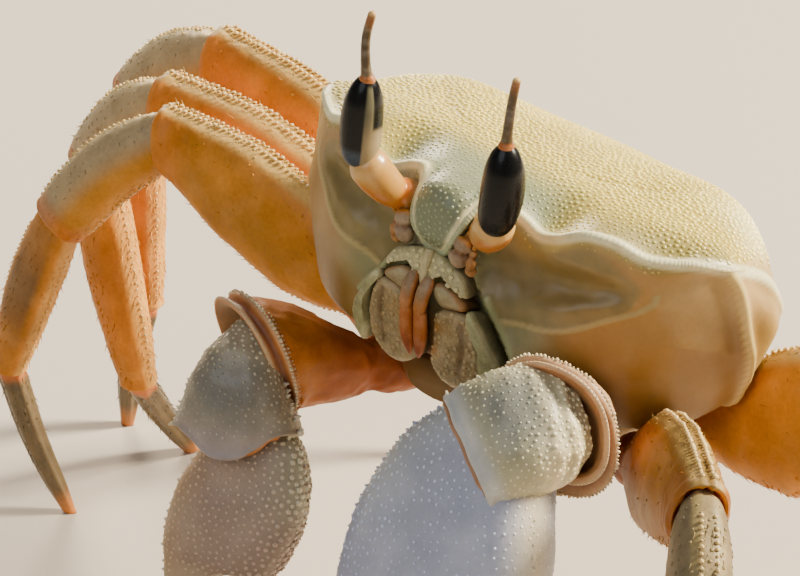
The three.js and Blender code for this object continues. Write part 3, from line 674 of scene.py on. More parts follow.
class ShapeTree:
    # a Geometry Nodes tree that plants a shape on many points, with named inputs for its sizes
    def __init__(self, name, sizes, others):
        self.tree = bpy.data.node_groups.new(name, "GeometryNodeTree")
        addSockets(self.tree, "INPUT", "Geometry", {"Geometry": None})
        addSockets(self.tree, "INPUT", "Float", sizes)
        for label, kind in others.items():
            addSockets(self.tree, "INPUT", kind, {label: None})
        addSockets(self.tree, "OUTPUT", "Geometry", {"Geometry": None})
        self.given = self.tree.nodes.new("NodeGroupInput").outputs
        self.sums, self.vectors = sumsIn(self.tree), vectorsIn(self.tree)

    def add(self, kind, inputs=None, **settings):
        return addNode(self.tree, kind, inputs, **settings)

    def named(self, kind, label):
        return self.add("GeometryNodeInputNamedAttribute", {"Name": label},
                        data_type=kind).outputs["Attribute"]

    def wobble(self):  # from 1 - Spread to 1 + Spread
        low, high = (self.sums(kind, 1.0, self.given["Spread"]) for kind in ("SUBTRACT", "ADD"))
        drawn = self.add("FunctionNodeRandomValue", {2: low, 3: high, "Seed": self.given["Seed"]},
                         data_type="FLOAT")
        return drawn.outputs[1]

    def plant(self, points, shape, way, wide, high):
        turn = self.add("FunctionNodeAlignRotationToVector", {"Vector": way}, axis="Z")
        stretch = self.add("ShaderNodeCombineXYZ", {0: wide, 1: wide, 2: high})
        place = self.add("GeometryNodeInstanceOnPoints", {
            "Points": points, "Instance": shape, "Rotation": turn.outputs[0], "Scale": stretch.outputs[0]})
        return self.add("GeometryNodeRealizeInstances", {"Geometry": place.outputs["Instances"]}).outputs[0]

    def finish(self, shapes):
        soft = self.add("GeometryNodeSetShadeSmooth", {"Geometry": shapes})
        dress = self.add("GeometryNodeSetMaterial", {"Geometry": soft.outputs[0],
            "Material": self.given["Material"]})
        self.add("NodeGroupOutput", {"Geometry": dress.outputs[0]})
        return self.tree


shapes = {
    "bead": {"Segments": 5, "Rings": 4, "Radius": 1.0},
    "bristle": {"Vertices": 4, "Side Segments": 2, "Radius Top": 0.012, "Radius Bottom": 0.07, "Depth": 1.0},
    "tooth": {"Vertices": 6, "Side Segments": 2, "Radius Bottom": 1.0, "Depth": 1.0},
    "bristleSwing": 0.35, "crowding": 6.0, "bakePatch": 0.0015,
}


def scatterTree(name, bristle):
    tree = ShapeTree(name, {"Spacing": 0.0005, "Size": 0.0002, "Height": 0.5, "Spread": 0.25, "Stand": 1.0},
                     {"Seed": "Int", "Where": "String", "Material": "Material"})
    given, sums, vectors = tree.given, tree.sums, tree.vectors
    area = sums("MULTIPLY", given["Spacing"], given["Spacing"])
    spread = tree.add("GeometryNodeDistributePointsOnFaces", {
        "Mesh": given["Geometry"], "Distance Min": given["Spacing"],
        "Density Max": sums("DIVIDE", shapes["crowding"], area),
        "Density Factor": tree.named("FLOAT", given["Where"]), "Seed": given["Seed"]},
        distribute_method="POISSON")
    roots = tree.add("GeometryNodeCaptureAttribute", {"Geometry": spread.outputs["Points"]})
    roots.capture_items.new("VECTOR", "rootMap")
    tree.tree.links.new(tree.named("FLOAT_VECTOR", "skinMap"), roots.inputs["rootMap"])
    way = spread.outputs["Normal"]
    if bristle:
        shape = tree.add("GeometryNodeMeshCone", shapes["bristle"])
        upright = vectors("SCALE", {0: way, "Scale": given["Stand"]})
        leaning = vectors("ADD", {0: upright, 1: tree.named("FLOAT_VECTOR", "lean")})
        swing = shapes["bristleSwing"]
        loose = tree.add("FunctionNodeRandomValue", {0: (-swing, -swing, -swing), 1: (swing, swing, swing),
            "Seed": given["Seed"]},
                         data_type="FLOAT_VECTOR")
        way = vectors("ADD", {0: leaning, 1: loose.outputs[0]})
    else:
        shape = tree.add("GeometryNodeMeshUVSphere", shapes["bead"])
    size = sums("MULTIPLY", sums("MULTIPLY", tree.wobble(), given["Size"]), tree.named("FLOAT", "beadScale"))
    high = sums("MULTIPLY", size, given["Height"])
    planted = tree.plant(roots.outputs["Geometry"], shape.outputs["Mesh"], way, size, high)
    # each shape gets a small patch of its own beside its root on the skin's map
    wayOut = tree.add("GeometryNodeInputNormal").outputs[0]
    corner = vectors("SCALE", {0: wayOut, "Scale": shapes["bakePatch"]})
    patch = vectors("ADD", {0: roots.outputs["rootMap"], 1: corner})
    store = tree.add("GeometryNodeStoreNamedAttribute",
                     {"Name": "OFBake", "Geometry": planted, "Value": patch},
                     data_type="FLOAT2", domain="CORNER")
    return tree.finish(store.outputs[0])


def teethTree():
    tree = ShapeTree("edgeTeeth", {"Spacing": 0.0006, "Width": 0.0002, "Length": 0.0004, "Spread": 0.3,
                                   "Blunt": 0.3},
                     {"Seed": "Int", "Material": "Material"})
    given, sums = tree.given, tree.sums
    curve = tree.add("GeometryNodeMeshToCurve", {"Mesh": given["Geometry"]})
    spots = tree.add("GeometryNodeResampleCurve", {"Curve": curve.outputs["Curve"],
        "Length": given["Spacing"]}, mode="LENGTH")
    shape = tree.add("GeometryNodeMeshCone", {**shapes["tooth"], "Radius Top": given["Blunt"]})
    size = sums("MULTIPLY", tree.wobble(), tree.named("FLOAT", "toothScale"))
    wide, high = (sums("MULTIPLY", size, given[key]) for key in ("Width", "Length"))
    return tree.finish(tree.plant(
        spots.outputs["Curve"], shape.outputs["Mesh"], tree.named("FLOAT_VECTOR", "way"), wide, high))


beadTree = scatterTree("scatterBeads", False)
bristleTree = scatterTree("scatterBristles", True)
edgeTree = teethTree()


def grown(name, startMesh, tree, settings):  # the tree's result on a mesh, as a plain mesh of one material
    carrier = linked(name + "Carrier", startMesh)
    modifier = carrier.modifiers.new("grow", "NODES")
    modifier.node_group = tree
    for item in tree.interface.items_tree:
        if item.in_out == "INPUT" and item.name in settings:
            modifier[item.identifier] = settings[item.name]
    carrier.update_tag()
    mesh = bpy.data.meshes.new_from_object(carrier.evaluated_get(bpy.context.evaluated_depsgraph_get()))
    bpy.data.objects.remove(carrier)
    mesh.materials.clear()
    mesh.materials.append(settings["Material"])
    mesh.polygons.foreach_set("material_index", [0] * len(mesh.polygons))
    for label in ("skinMap", "beads", "beadScale", "lean", "bristles", "way", "toothScale"):
        if label in mesh.attributes:
            mesh.attributes.remove(mesh.attributes[label])
    return linked(name, mesh)


def scatter(name, skins, tree, settings):
    pieces = [grown(name, skin.data, tree, settings) for skin in skins]
    if len(pieces) > 1:
        with bpy.context.temp_override(active_object=pieces[0], selected_editable_objects=pieces):
            bpy.ops.object.join()
    print(name, len(pieces[0].data.polygons), "faces")
    return pieces[0]


def lineMesh(name, lines):  # lines are (points, ways, tooth scale, tint)
    mesh = bpy.data.meshes.new(name)
    counts = [len(line[0]) for line in lines]
    starts = np.cumsum([0] + counts[:-1])
    edges = [(start + k, start + k + 1) for start, count in zip(starts.tolist(),
        counts) for k in range(count - 1)]

    def stacked(column):
        return np.vstack([np.broadcast_to(line[column], (count, 3)) for line, count in zip(lines, counts)])

    points, ways, tints = stacked(0), stacked(1), stacked(3)
    mesh.from_pydata(placed(points).tolist(), edges, [])
    writeMask(mesh, "way", unit(ways))
    writeMask(mesh, "toothScale", np.repeat([line[2] for line in lines], counts))
    writeTint(mesh, tints)
    return mesh


def teeth(name, lines, settings):
    piece = grown(name, lineMesh(name + "Lines", lines), edgeTree, settings)
    print(name, len(piece.data.polygons), "faces")
    return piece


def keep(piece, slotName, *nodes):
    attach(piece, "root")
    if nodes:
        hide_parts(*nodes)
    return piece


def addGrains(name, skins, slotName, material, settings):
    keep(scatter(name, skins, beadTree, {"Where": "beads", "Material": material, **settings}), slotName)


carapace = keep(buildBody(), "shell", "carapace")
addGrains("carapaceBeads", [carapace], "shell", beadMaterial, {
    "Spacing": 0.0004, "Size": 0.00023, "Height": 0.5, "Spread": 0.2, "Seed": 4})
for side, line in zip(("Left", "Right"), mirrored(frontLine)):
    keep(browCord("frontRidge" + side, line), "shell")

sternumLoft = Loft([(0, -11.0, -19.2), (0, 1, -18.8), (0, 13.4, -18.0)], [
    [0.0, 4.0, 1.4], [0.14, 7.2, 2.8], [0.4, 10.4, 3.8, 3.6], [0.7, 10.6, 3.8, 3.6], [1.0, 5.4, 2.8, 1.4]],
    (0, 0, 1), sides=64, perSpan=14, square=0.6)
crease = np.zeros(sternumLoft.place.shape)
for spot in (0.22, 0.38, 0.54, 0.7, 0.86):
    crease += bell((sternumLoft.place - spot - 0.05 * np.abs(sternumLoft.cosine)) / 0.012)
sternumLoft.push(-0.3 * crease - 0.25 * sternumLoft.near(270, 3) * smooth01((0.45 - sternumLoft.place) / 0.1))
sternumTint = tone(208, 184, 132) * (1 + 0.05 * ripple(sternumLoft.points, 5, 12)[..., None])
sternumTint = mix(sternumTint, tone(150, 110, 60), 0.7 * crease)
# darker brown at the front, under the mouth: painted shade
sternumLoft.tint[:] = mix(sternumTint, tone(116, 86, 54), 0.9 * smooth01((0.42 - sternumLoft.place) / 0.2))
keep(sternumLoft.piece("sternum", shellMaterial), "underside", "sternum")

abdomenLoft = Loft([(0, 16.6, -12.0), (0, 16.6, -16.5), (0, 13.6, -21.2), (0, 6, -23.6), (0, -3.5, -23.8)], [
    [0.0, 5.5, 0.65], [0.2, 5.9, 0.75], [0.45, 5.3, 0.75], [0.7, 3.8, 0.75], [0.9, 2.3, 0.7],
    [1.0, 1.1, 0.55]],
    (0, -1, 0.6), sides=48, perSpan=18, square=0.6)
crease = np.zeros(abdomenLoft.place.shape)
for spot in (0.12, 0.27, 0.43, 0.58, 0.73, 0.88):
    crease += bell((abdomenLoft.place - spot) / 0.009)
abdomenLoft.push(-0.22 * crease)
abdomenTint = tone(212, 188, 136) * (1 + 0.05 * ripple(abdomenLoft.points, 4, 13)[..., None])
abdomenLoft.tint[:] = mix(abdomenTint, tone(150, 108, 58), 0.7 * crease)
keep(abdomenLoft.piece("abdomen", shellMaterial), "underside", "abdomen")
print("underside done")


def closedLine(controls, count):  # smooth loop through the control points
    c = np.asarray(controls, float)
    n = len(c)
    t = np.arange(count) / count * n
    i = np.floor(t).astype(int)
    w = (t - i)[:, None]
    a, b, d, e = c[(i - 1) % n], c[i % n], c[(i + 1) % n], c[(i + 2) % n]
    return 0.5 * (2 * b + (d - a) * w + (2 * a - 5 * b + 4 * d - e) * w**2 + (3 * b - a - 3 * d + e) * w**3)


padMaking = {"around": 72, "rings": 26, "round": 3.0, "rough": 0.04, "patchy": 0.12, "rim": 0.0, "deep": 1.6,
             "grooves": (), "spots": ()}
amber, brown = tone(178, 124, 68), tone(112, 74, 44)
mouthPads = {
    # domed plates on the face wall, given for the crab's left: outline in x and z, rise at middle and edge
    "mouthLeaf": {  # the outer mouthpart, a broad granular leaf
        "outline": [(1.15, -12.0), (1.75, -11.15), (3.0, -10.8), (4.3, -11.0), (5.0, -12.4), (5.3, -14.2),
                    (4.9, -16.0), (3.5, -17.2), (1.9, -17.1), (0.85, -16.0), (1.0, -14.2)],
        "high": 1.0, "edge": 0.35, "rim": 0.1, "deep": 2.0, "tint": tone(146, 130, 100),
        "rimTint": tone(158, 142, 112),
        "grooves": [([(3.7, -11.6), (3.9, -13.6), (3.5, -15.8)], 0.2, 0.28)],
        "spots": [((1.5, -12.6), 0.5, amber, 0.6), ((1.3, -14.6), 0.5, amber, 0.6),
                  ((2.4, -12.4), 0.8, tone(132, 104, 64), 0.6)],
        "grains": {"Spacing": 0.00046, "Size": 0.00017, "Height": 0.5, "Spread": 0.4, "Seed": 9}},
    "mouthUpperLeaf": {
        "outline": [(0.85, -9.55), (1.3, -9.15), (2.3, -9.2), (3.5, -9.9), (3.75, -10.5), (2.9, -10.75),
                    (2.0, -10.95), (1.35, -10.75), (0.95, -10.2)],
        "high": 0.9, "edge": 0.25, "rough": 0.02, "tint": tone(150, 136, 108),
        "rimTint": tone(156, 118, 82), "patchy": 0.08,
        "spots": [((2.0, -9.6), 0.6, tone(176, 168, 140), 0.7)]},
    "mouthStrap": {
        "outline": [(4.2, -10.3), (4.8, -10.7), (5.8, -12.3), (6.8, -14.0), (6.9, -15.8), (6.0, -17.0),
                    (5.5, -15.6), (5.5, -13.6), (5.05, -11.9), (4.1, -10.9)],
        "high": 1.2, "edge": 0.5, "tint": tone(158, 156, 122), "rimTint": tone(182, 180, 146)},
    "mouthBridge": {  # the granular bridge above the mouth
        "outline": [(-0.12, -7.4), (0.7, -7.2), (1.8, -7.5), (2.9, -7.95), (3.6, -8.8), (3.7, -9.5),
                    (2.8, -9.0), (1.6, -8.45), (0.7, -8.45), (0.3, -9.2), (-0.1, -9.3)],
        "high": 0.65, "edge": 0.15, "tint": tone(186, 178, 144), "deep": 1.4, "patchy": 0.06,
        "grains": {"Spacing": 0.0005, "Size": 0.0002, "Height": 0.55, "Spread": 0.4, "Seed": 10}},
}


def facePad(name, sign, pad):
    pad = {**padMaking, **pad}
    around, rings = pad["around"], pad["rings"]
    mirror = np.array([sign, 1.0])
    loop = closedLine(np.array(pad["outline"]) * mirror, around)
    middle = loop.mean(0)
    r = np.linspace(0.04, 1, rings) ** 0.8
    flat = middle + r[:, None, None] * (loop - middle)[None]
    x, z = flat[..., 0], flat[..., 1]
    dome = (1 - r ** pad["round"]) ** 0.5
    high = pad["edge"] + (pad["high"] - pad["edge"]) * dome[:, None] * np.ones(around)
    high = high + pad["rim"] * bell((r - 0.86) / 0.07)[:, None]
    dark = np.zeros(x.shape)
    for line, deep, wide in pad["grooves"]:
        sampled = smoothCurve(np.array(line) * mirror, np.linspace(0, 1, 40))
        gap = np.min(np.hypot(x[..., None] - sampled[:, 0], z[..., None] - sampled[:, 1]), -1)
        high = high - deep * bell(gap / wide)
        dark = np.maximum(dark, bell(gap / wide))
    high = high + pad["rough"] * ripple(np.stack([x, z, 0 * x], -1), 0.9, 45)
    front = np.stack([x, faceWall(np.abs(x), z) - high, z], -1)
    skirt = front[-1].copy()
    skirt[:, 1] += 0.35
    back = (front[-1] - front[-1].mean(0)) * 0.94 + front[-1].mean(0)
    back[:, 1] += pad["deep"]
    points = np.vstack([front.reshape(-1, 3), skirt, back, front[0].mean(0), back.mean(0)])
    rows = rings + 2
    faces, uv = ringFaces(rows, around)
    caps = ringCaps(rows, around, rows * around, rows * around + 1)
    if vertexNormals(points, faces)[: around * 8, 1].mean() > 0:
        faces, caps = faces[:, ::-1], caps[:, ::-1]
    colour = pad["tint"] * (1 + pad["patchy"] * ripple(front, 1.3, 46)[..., None])
    if "rimTint" in pad:
        colour = mix(colour, pad["rimTint"], smooth01((r - 0.72) / 0.16)[:, None] * np.ones(around))
    for (spotX, spotZ), size, paint, share in pad["spots"]:
        colour = mix(colour, paint, share * bell(np.hypot(x - sign * spotX, z - spotZ) / size))
    # the pad's grooves are painted dark: painted shade in them
    colour = mix(colour, tone(86, 58, 34), 0.7 * dark)
    # the pad's sides and back are painted darker still: painted shade where the pad meets the face wall
    edge = colour[-1] * 0.45
    tint = np.vstack([colour.reshape(-1, 3), edge, edge * 0.7, colour[0, :1], edge[:1]])
    grainy = smooth01((0.97 - r) / 0.1)[:, None] * (1 - dark) * np.ones(around)
    masks = {"beads": np.concatenate([grainy.ravel(), np.zeros(2 * around + 2)]),
             "beadScale": np.ones(len(points))}
    cornerUv = np.vstack([uv, np.zeros((len(caps) * 3, 2))])
    return meshPiece(name, points, faces.tolist() + caps.tolist(), mouthMaterial, tint, masks, cornerUv)


def addPad(name, side, sign, *nodes):
    skin = keep(facePad(name + side.title(), sign, mouthPads[name]), "mouthparts", *nodes)
    if "grains" in mouthPads[name]:
        addGrains(name + "Grains" + side.title(), [skin], "mouthparts", mouthGrainMaterial,
                  mouthPads[name]["grains"])


def roundLimb(line, stations, sides=24, perSpan=8):
    return Loft(line, stations, (0, -1, 0), sides=sides, perSpan=perSpan, square=1.0)


# points given for the crab's left, taken to one side and to its eye
def sideOf(sign, points, eyeIn=0.0, eyeUp=0.0):
    return [(sign * (x - eyeIn), y, z + eyeUp) for x, y, z in points]


def buildMouth(side, sign):
    label = side.title()
    addPad("mouthLeaf", side, sign, "mouth_plate_" + side)
    addPad("mouthUpperLeaf", side, sign)
    addPad("mouthStrap", side, sign)
    # the curved inner feeler of the mouth has two joints
    upper = roundLimb(sideOf(sign, [(0.75, -17.9, -9.0), (0.68, -18.3, -10.0), (0.62, -18.3, -11.6)]), [
        [-0.05, 0.2], [0.1, 0.46, 0.36], [0.5, 0.58, 0.42], [0.9, 0.52, 0.4], [1.03, 0.34, 0.28]])
    upperTint = mix(tone(146, 124, 100), tone(158, 104, 62), smooth01((upper.place - 0.5) / 0.4))
    upper.tint[:] = mix(upperTint, tone(178, 112, 58), 0.7 * smooth01((np.abs(upper.cosine) - 0.6) / 0.3))
    keep(upper.piece("palpUpper" + label, mouthMaterial), "mouthparts")
    lower = roundLimb(sideOf(sign, [(0.62, -18.15, -11.5), (0.66, -17.5, -13.4), (0.42, -16.7, -15.4)]), [
        [-0.03, 0.34, 0.28], [0.06, 0.54, 0.4], [0.5, 0.58, 0.42], [0.85, 0.4, 0.32], [1.03, 0.12]],
        perSpan=10)
    lowerTint = mix(tone(158, 98, 58), tone(128, 66, 40), smooth01((lower.place - 0.3) / 0.6))
    lower.tint[:] = mix(lowerTint, tone(178, 108, 52), 0.7 * smooth01((np.abs(lower.cosine) - 0.6) / 0.3))
    keep(lower.piece("palpLower" + label, mouthMaterial), "mouthparts")
    addPad("mouthBridge", side, sign)


# the folded feeler in its pocket beside the front lobe, and the thin one beside it
def buildFeelers(side, sign):
    label = side.title()
    feeler = Loft(sideOf(sign, [(2.45, -17.1, -7.3), (2.6, -17.8, -6.4), (2.8, -17.7, -5.4),
                                (3.1, -17.1, -4.7)]), [
        [0.0, 0.35], [0.15, 0.62, 0.6], [0.34, 0.7, 0.66], [0.44, 0.48, 0.5], [0.56, 0.66, 0.62],
        [0.7, 0.6], [0.78, 0.42], [0.92, 0.5], [1.05, 0.22]],
        (0, -1, 0), sides=36, perSpan=9)
    feeler.push(0.05 * ripple(feeler.points, 0.9, 52))
    feelerTint = mix(tone(150, 132, 112), amber, smooth01((feeler.place - 0.6) / 0.12))
    folds = np.maximum(bell((feeler.place - 0.44) / 0.05), bell((feeler.place - 0.78) / 0.04))
    feeler.tint[:] = mix(feelerTint, brown, 0.8 * folds)
    keep(feeler.piece("antennule" + label, mouthMaterial), "mouthparts", "antennule_" + side)
    knob = roundLimb(sideOf(sign, [(3.4, -16.9, -7.7), (3.55, -17.5, -6.9), (3.5, -17.4, -5.9)]), [
        [0.0, 0.3], [0.2, 0.46, 0.42], [0.4, 0.32], [0.62, 0.42, 0.38], [0.8, 0.26], [1.0, 0.3, 0.28],
        [1.08, 0.1]])
    folds = np.maximum(bell((knob.place - 0.4) / 0.08), bell((knob.place - 0.8) / 0.06))
    knob.tint[:] = mix(tone(164, 124, 86), brown, 0.7 * folds)
    keep(knob.piece("antennaBase" + label, mouthMaterial), "mouthparts")
    whip = roundLimb(sideOf(sign, [(3.6, -17.6, -5.6), (4.0, -18.0, -5.0), (4.6, -18.1, -4.9),
                                   (5.2, -18.0, -5.3)]), [
        [0.0, 0.16], [0.5, 0.11], [1.0, 0.06]], sides=12, perSpan=20)
    whip.tint[:] = amber
    keep(whip.piece("antenna" + label, mouthMaterial), "mouthparts")


# how far each eye stands inwards and up from its usual place, the stalk's rise, sheen and the horn's bend
eyes = {
    "left": {"at": (-0.22, 0.25), "rise": 0.3, "sheen": 0.0,
             "horn": [(6.7, -21.6, 3.7), (6.75, -22.0, 5.4), (6.85, -22.4, 7.4), (7.15, -22.9, 9.2)]},
    "right": {"at": (0.7, 0.6), "rise": 0.0, "sheen": 0.8,
              "horn": [(6.6, -21.6, 3.7), (6.75, -22.1, 5.2), (6.85, -22.5, 7.0), (6.4, -23.0, 9.1)]},
}


def buildEye(side, sign):
    label, own = side.title(), eyes[side]
    rise = own["rise"]
    root = sideOf(sign, [(2.9, -15.4, -4.6), (4.3, -17.5, -4.2)])
    stalk = Loft(root + sideOf(sign, [(5.6, -19.2, -3.6 + rise), (6.25, -20.1, -2.6 + rise)], *own["at"]), [
        [0.0, 1.15], [0.2, 1.3], [0.34, 1.26], [0.46, 1.34], [0.7, 1.48], [0.88, 1.5],
        [1.0, 1.36, 1.38, 1.36], [1.12, 0.8, 0.9, 0.8]],
        (0, -0.5, 1), sides=44, perSpan=9, square=1.0)
    stalk.push(-0.08 * bell((stalk.place - 0.31) / 0.04))
    shadeSide = smooth01((-stalk.sine + 0.1) / 0.8)
    stalkTint = mix(tone(200, 158, 104), tone(190, 120, 48),
                    np.maximum(0.8 * shadeSide, bell((stalk.place - 0.28) / 0.1)))
    stalkTint = mix(stalkTint, tone(176, 156, 140), 0.7 * bell((stalk.place - 0.12) / 0.08))
    stalk.tint[:] = mix(stalkTint, tone(206, 170, 120), smooth01((stalk.place - 0.75) / 0.2))
    keep(stalk.piece("eyestalk" + label, stalkMaterial), "eyestalk", "eyestalk_" + side)

    eye = roundLimb(sideOf(sign, [(6.6, -20.5, -2.9), (6.8, -20.9, 0.4), (6.65, -21.6, 4.0)], *own["at"]), [
        [-0.01, 0.2], [0.0, 0.6], [0.04, 0.95], [0.13, 1.27], [0.28, 1.48], [0.5, 1.55],
        [0.7, 1.45], [0.84, 1.18], [0.93, 0.86], [0.98, 0.58], [1.02, 0.35]], sides=56)
    # a pale strip of the stalk runs up the inner front side; behind it the facets start higher up
    inner = eye.angle if side == "left" else 180 - eye.angle
    inner = (inner + 180) % 360 - 180
    strip = smooth01((14 - np.abs(inner - 31)) / 4) * smooth01((0.96 - eye.place) / 0.06)
    behind = smooth01((24 - inner) / 8) * smooth01((inner + 100) / 10) * smooth01((0.52 - eye.place) / 0.06)
    bare = np.maximum(strip, behind)
    sheen = smooth01((0.26 - eye.place) / 0.1) * own["sheen"]
    eyeTint = mix(np.broadcast_to(tone(13, 8, 7), eye.points.shape), tone(74, 82, 92), sheen)
    bareTint = mix(tone(164, 148, 120), tone(112, 108, 90), smooth01((eye.place - 0.3) / 0.4))
    eyeTint = mix(eyeTint, bareTint, bare)
    eye.tint[:] = mix(eyeTint, tone(120, 84, 46), smooth01((eye.place - 0.96) / 0.03))
    eye.push(0.04 * bare)
    keep(eye.piece("cornea" + label, corneaMaterial), "cornea", "cornea_" + side)

    horn = roundLimb(sideOf(sign, own["horn"], *own["at"]), [
        [-0.02, 0.62], [0.05, 0.56], [0.12, 0.42], [0.3, 0.36], [0.6, 0.33], [0.85, 0.32], [0.96, 0.3],
        [1.0, 0.2], [1.01, 0.08]], sides=28)
    hornTint = mix(tone(84, 66, 34), tone(168, 104, 44), smooth01((0.13 - horn.place) / 0.05))
    hornTint = mix(hornTint, tone(62, 44, 24), bell((horn.place - 0.5) / 0.3))
    hornTint = mix(hornTint, tone(130, 84, 46), smooth01((horn.place - 0.75) / 0.15))
    horn.tint[:] = mix(hornTint, tone(204, 176, 130), smooth01((horn.place - 0.95) / 0.04))
    keep(horn.piece("horn" + label, hornMaterial), "horn", "horn_" + side)


for side, sign in (("left", 1), ("right", -1)):
    buildMouth(side, sign)
    buildFeelers(side, sign)
    buildEye(side, sign)
rod = roundLimb([(0, -17.7, -7.0), (0.05, -17.9, -8.4), (0.1, -17.7, -9.9)], [
    [0.0, 0.3], [0.15, 0.42, 0.4], [0.5, 0.36], [0.85, 0.3], [1.05, 0.12]])
rod.tint[:] = tone(186, 176, 144) * 1.05
keep(rod.piece("mouthRod", mouthMaterial), "mouthparts")
print("head done")


def faceEnd(loft, way, fromPlace=0.62):  # the far rim is turned round to face a given way
    goal = unit(way)
    last = loft.tangent[-1]
    axis = unit(np.cross(last, goal))
    angle = math.acos(float(last @ goal)) * smooth01((loft.place[:, 0] - fromPlace) / 0.32)[:, None, None]
    offset = loft.points - loft.centre[:, None]
    aside = np.cross(np.broadcast_to(axis, offset.shape), offset)
    onAxis = axis * (offset @ axis)[..., None]
    turned = offset * np.cos(angle) + aside * np.sin(angle) + onAxis * (1 - np.cos(angle))
    loft.points = loft.centre[:, None] + turned


def bevelEnds(loft, previous, following, share=0.7):
    # the rim of each segment leans towards the plane that halves the bend
    offset = loft.points - loft.centre[:, None]
    farEnd, nearEnd = smooth01((loft.place - 0.68) / 0.3), smooth01((0.22 - loft.place) / 0.25)
    for way, end in ((following, farEnd), (previous, nearEnd)):
        if way is not None:
            drop = np.einsum("ijk,k->ij", offset, unit(way)) / (1.0 + loft.tangent @ unit(way))[:, None]
            loft.points = loft.points - loft.tangent[:, None] * (share * drop * end)[..., None]


# one line along the limb at an angle round it, and the way out
def edgeLine(loft, degrees, start, stop, lift=0.0):
    column = int(round((degrees % 360) / 360 * loft.sides - 0.5)) % loft.sides
    rows = np.where((loft.place[:, 0] >= start) & (loft.place[:, 0] <= stop))[0]
    rows = rows[: np.argmax(loft.place[rows, 0]) + 1]
    outward = loft.normals()[rows, column]
    return loft.points[rows, column] + outward * lift, outward


def rimLine(loft, spot, fromDegrees, toDegrees, lean):  # a line round the limb on its ring number spot
    row = int(round(spot * (loft.rows - 1) / loft.s[-1, 0]))
    columns = np.arange(int(fromDegrees / 360 * loft.sides),
                        int(toDegrees / 360 * loft.sides) + 1) % loft.sides
    outward = loft.normals()[row, columns]
    return loft.points[row, columns], outward * (1 - lean) + loft.tangent[row] * lean


claws = [  # wristEdges are rows of teeth: degrees round the wrist, tooth scale and where the row starts
    {"side": "left", "size": 1.0, "ribs": 1.0, "grain": (1.0, 1.0),
     "tooth": {"scale": 1.0, "under": 0.55, "spacing": 1.0, "width": 1.0, "length": 1.0},
     "base": (7.5, -6.5, -21.0), "elbow": (14.4, -18.7, -14.7), "wrist": (11.2, -23.2, -17.3),
     "heel": (12.3, -21.2, -18.9),
     "along": (-0.26, -0.06, -0.95), "upper": (-0.93, 0.22, 0.3), "arm": 1.0, "shift": -1.0,
     # the left palm's bluish grey is partly its own pale colour, partly painted sky-lit shade
     "palmTint": tone(174, 179, 198), "warm": 0.0,
     "facing": (0.1, -0.95, -0.3), "wristHint": (0.25, -0.7, 0.65),
     "wristEdges": ((180, 0.9, 0.55), (172, 0.6, 0.6)), "tongue": 0.0,
     "folds": (("Crease", rimLine, (6.8, 22, 172, 0), 0.26, tone(146, 112, 88)),
               ("Membrane", edgeLine, (352, 0.5, 0.98), 0.42, tone(196, 142, 66))),
     "armTint": (tone(190, 156, 126), tone(184, 112, 54)),
     "wristShape": [[-0.22, 3.0, 3.0, 2.4], [-0.02, 4.0, 4.0, 3.2], [0.18, 4.35, 4.2, 3.3],
                    [0.45, 4.6, 4.1, 3.4], [0.75, 4.65, 3.6, 3.5], [0.95, 4.55, 3.0, 3.4],
                    [1.04, 4.4, 2.6, 3.2], [1.07, 4.0, 2.2, 2.8], [0.98, 3.4, 1.8, 2.3]]},
    {"side": "right", "size": 0.57, "ribs": 0.4, "grain": (0.84, 1.25),
     "tooth": {"scale": 0.6, "under": 1.0, "spacing": 0.75, "width": 0.7, "length": 0.8},
     "base": (-7.5, -6.5, -21.0), "elbow": (-14.0, -17.2, -20.8), "wrist": (-12.1, -19.4, -26.2),
     "heel": (-12.8, -18.6, -27.2),
     "along": (0.02, -0.05, -1), "upper": (0.97, 0.3, 0.02), "arm": 0.88, "shift": 2.0,
     "palmTint": tone(152, 134, 122), "warm": 1.0,
     "facing": (-0.27, -0.8, -0.47), "wristHint": (0.35, -1, 0.2),
     "wristEdges": ((0, 0.7, 0.3), (180, 0.9, 0.3), (8, 0.5, 0.4), (172, 0.5, 0.4)), "tongue": 2.2,
     "folds": (("Membrane", rimLine, (6.95, 28, 84, 0), 0.42, tone(186, 122, 50)),),
     "armTint": (tone(176, 112, 60), tone(156, 88, 38)),
     "wristShape": [[-0.25, 1.4, 1.9, 1.5], [-0.05, 2.2, 2.8, 2.1], [0.2, 2.9, 3.3, 2.6],
                    [0.45, 3.6, 3.4, 2.9], [0.7, 4.25, 3.2, 3.0], [0.9, 4.7, 2.8, 2.9],
                    [0.97, 4.75, 2.5, 2.7], [0.98, 4.2, 2.1, 2.4], [0.9, 3.6, 1.7, 2.0]]},
]
palmLength = 31


def scaledStations(stations, factor):
    table = fullRows(stations)
    table[:, 1:] *= factor
    return table


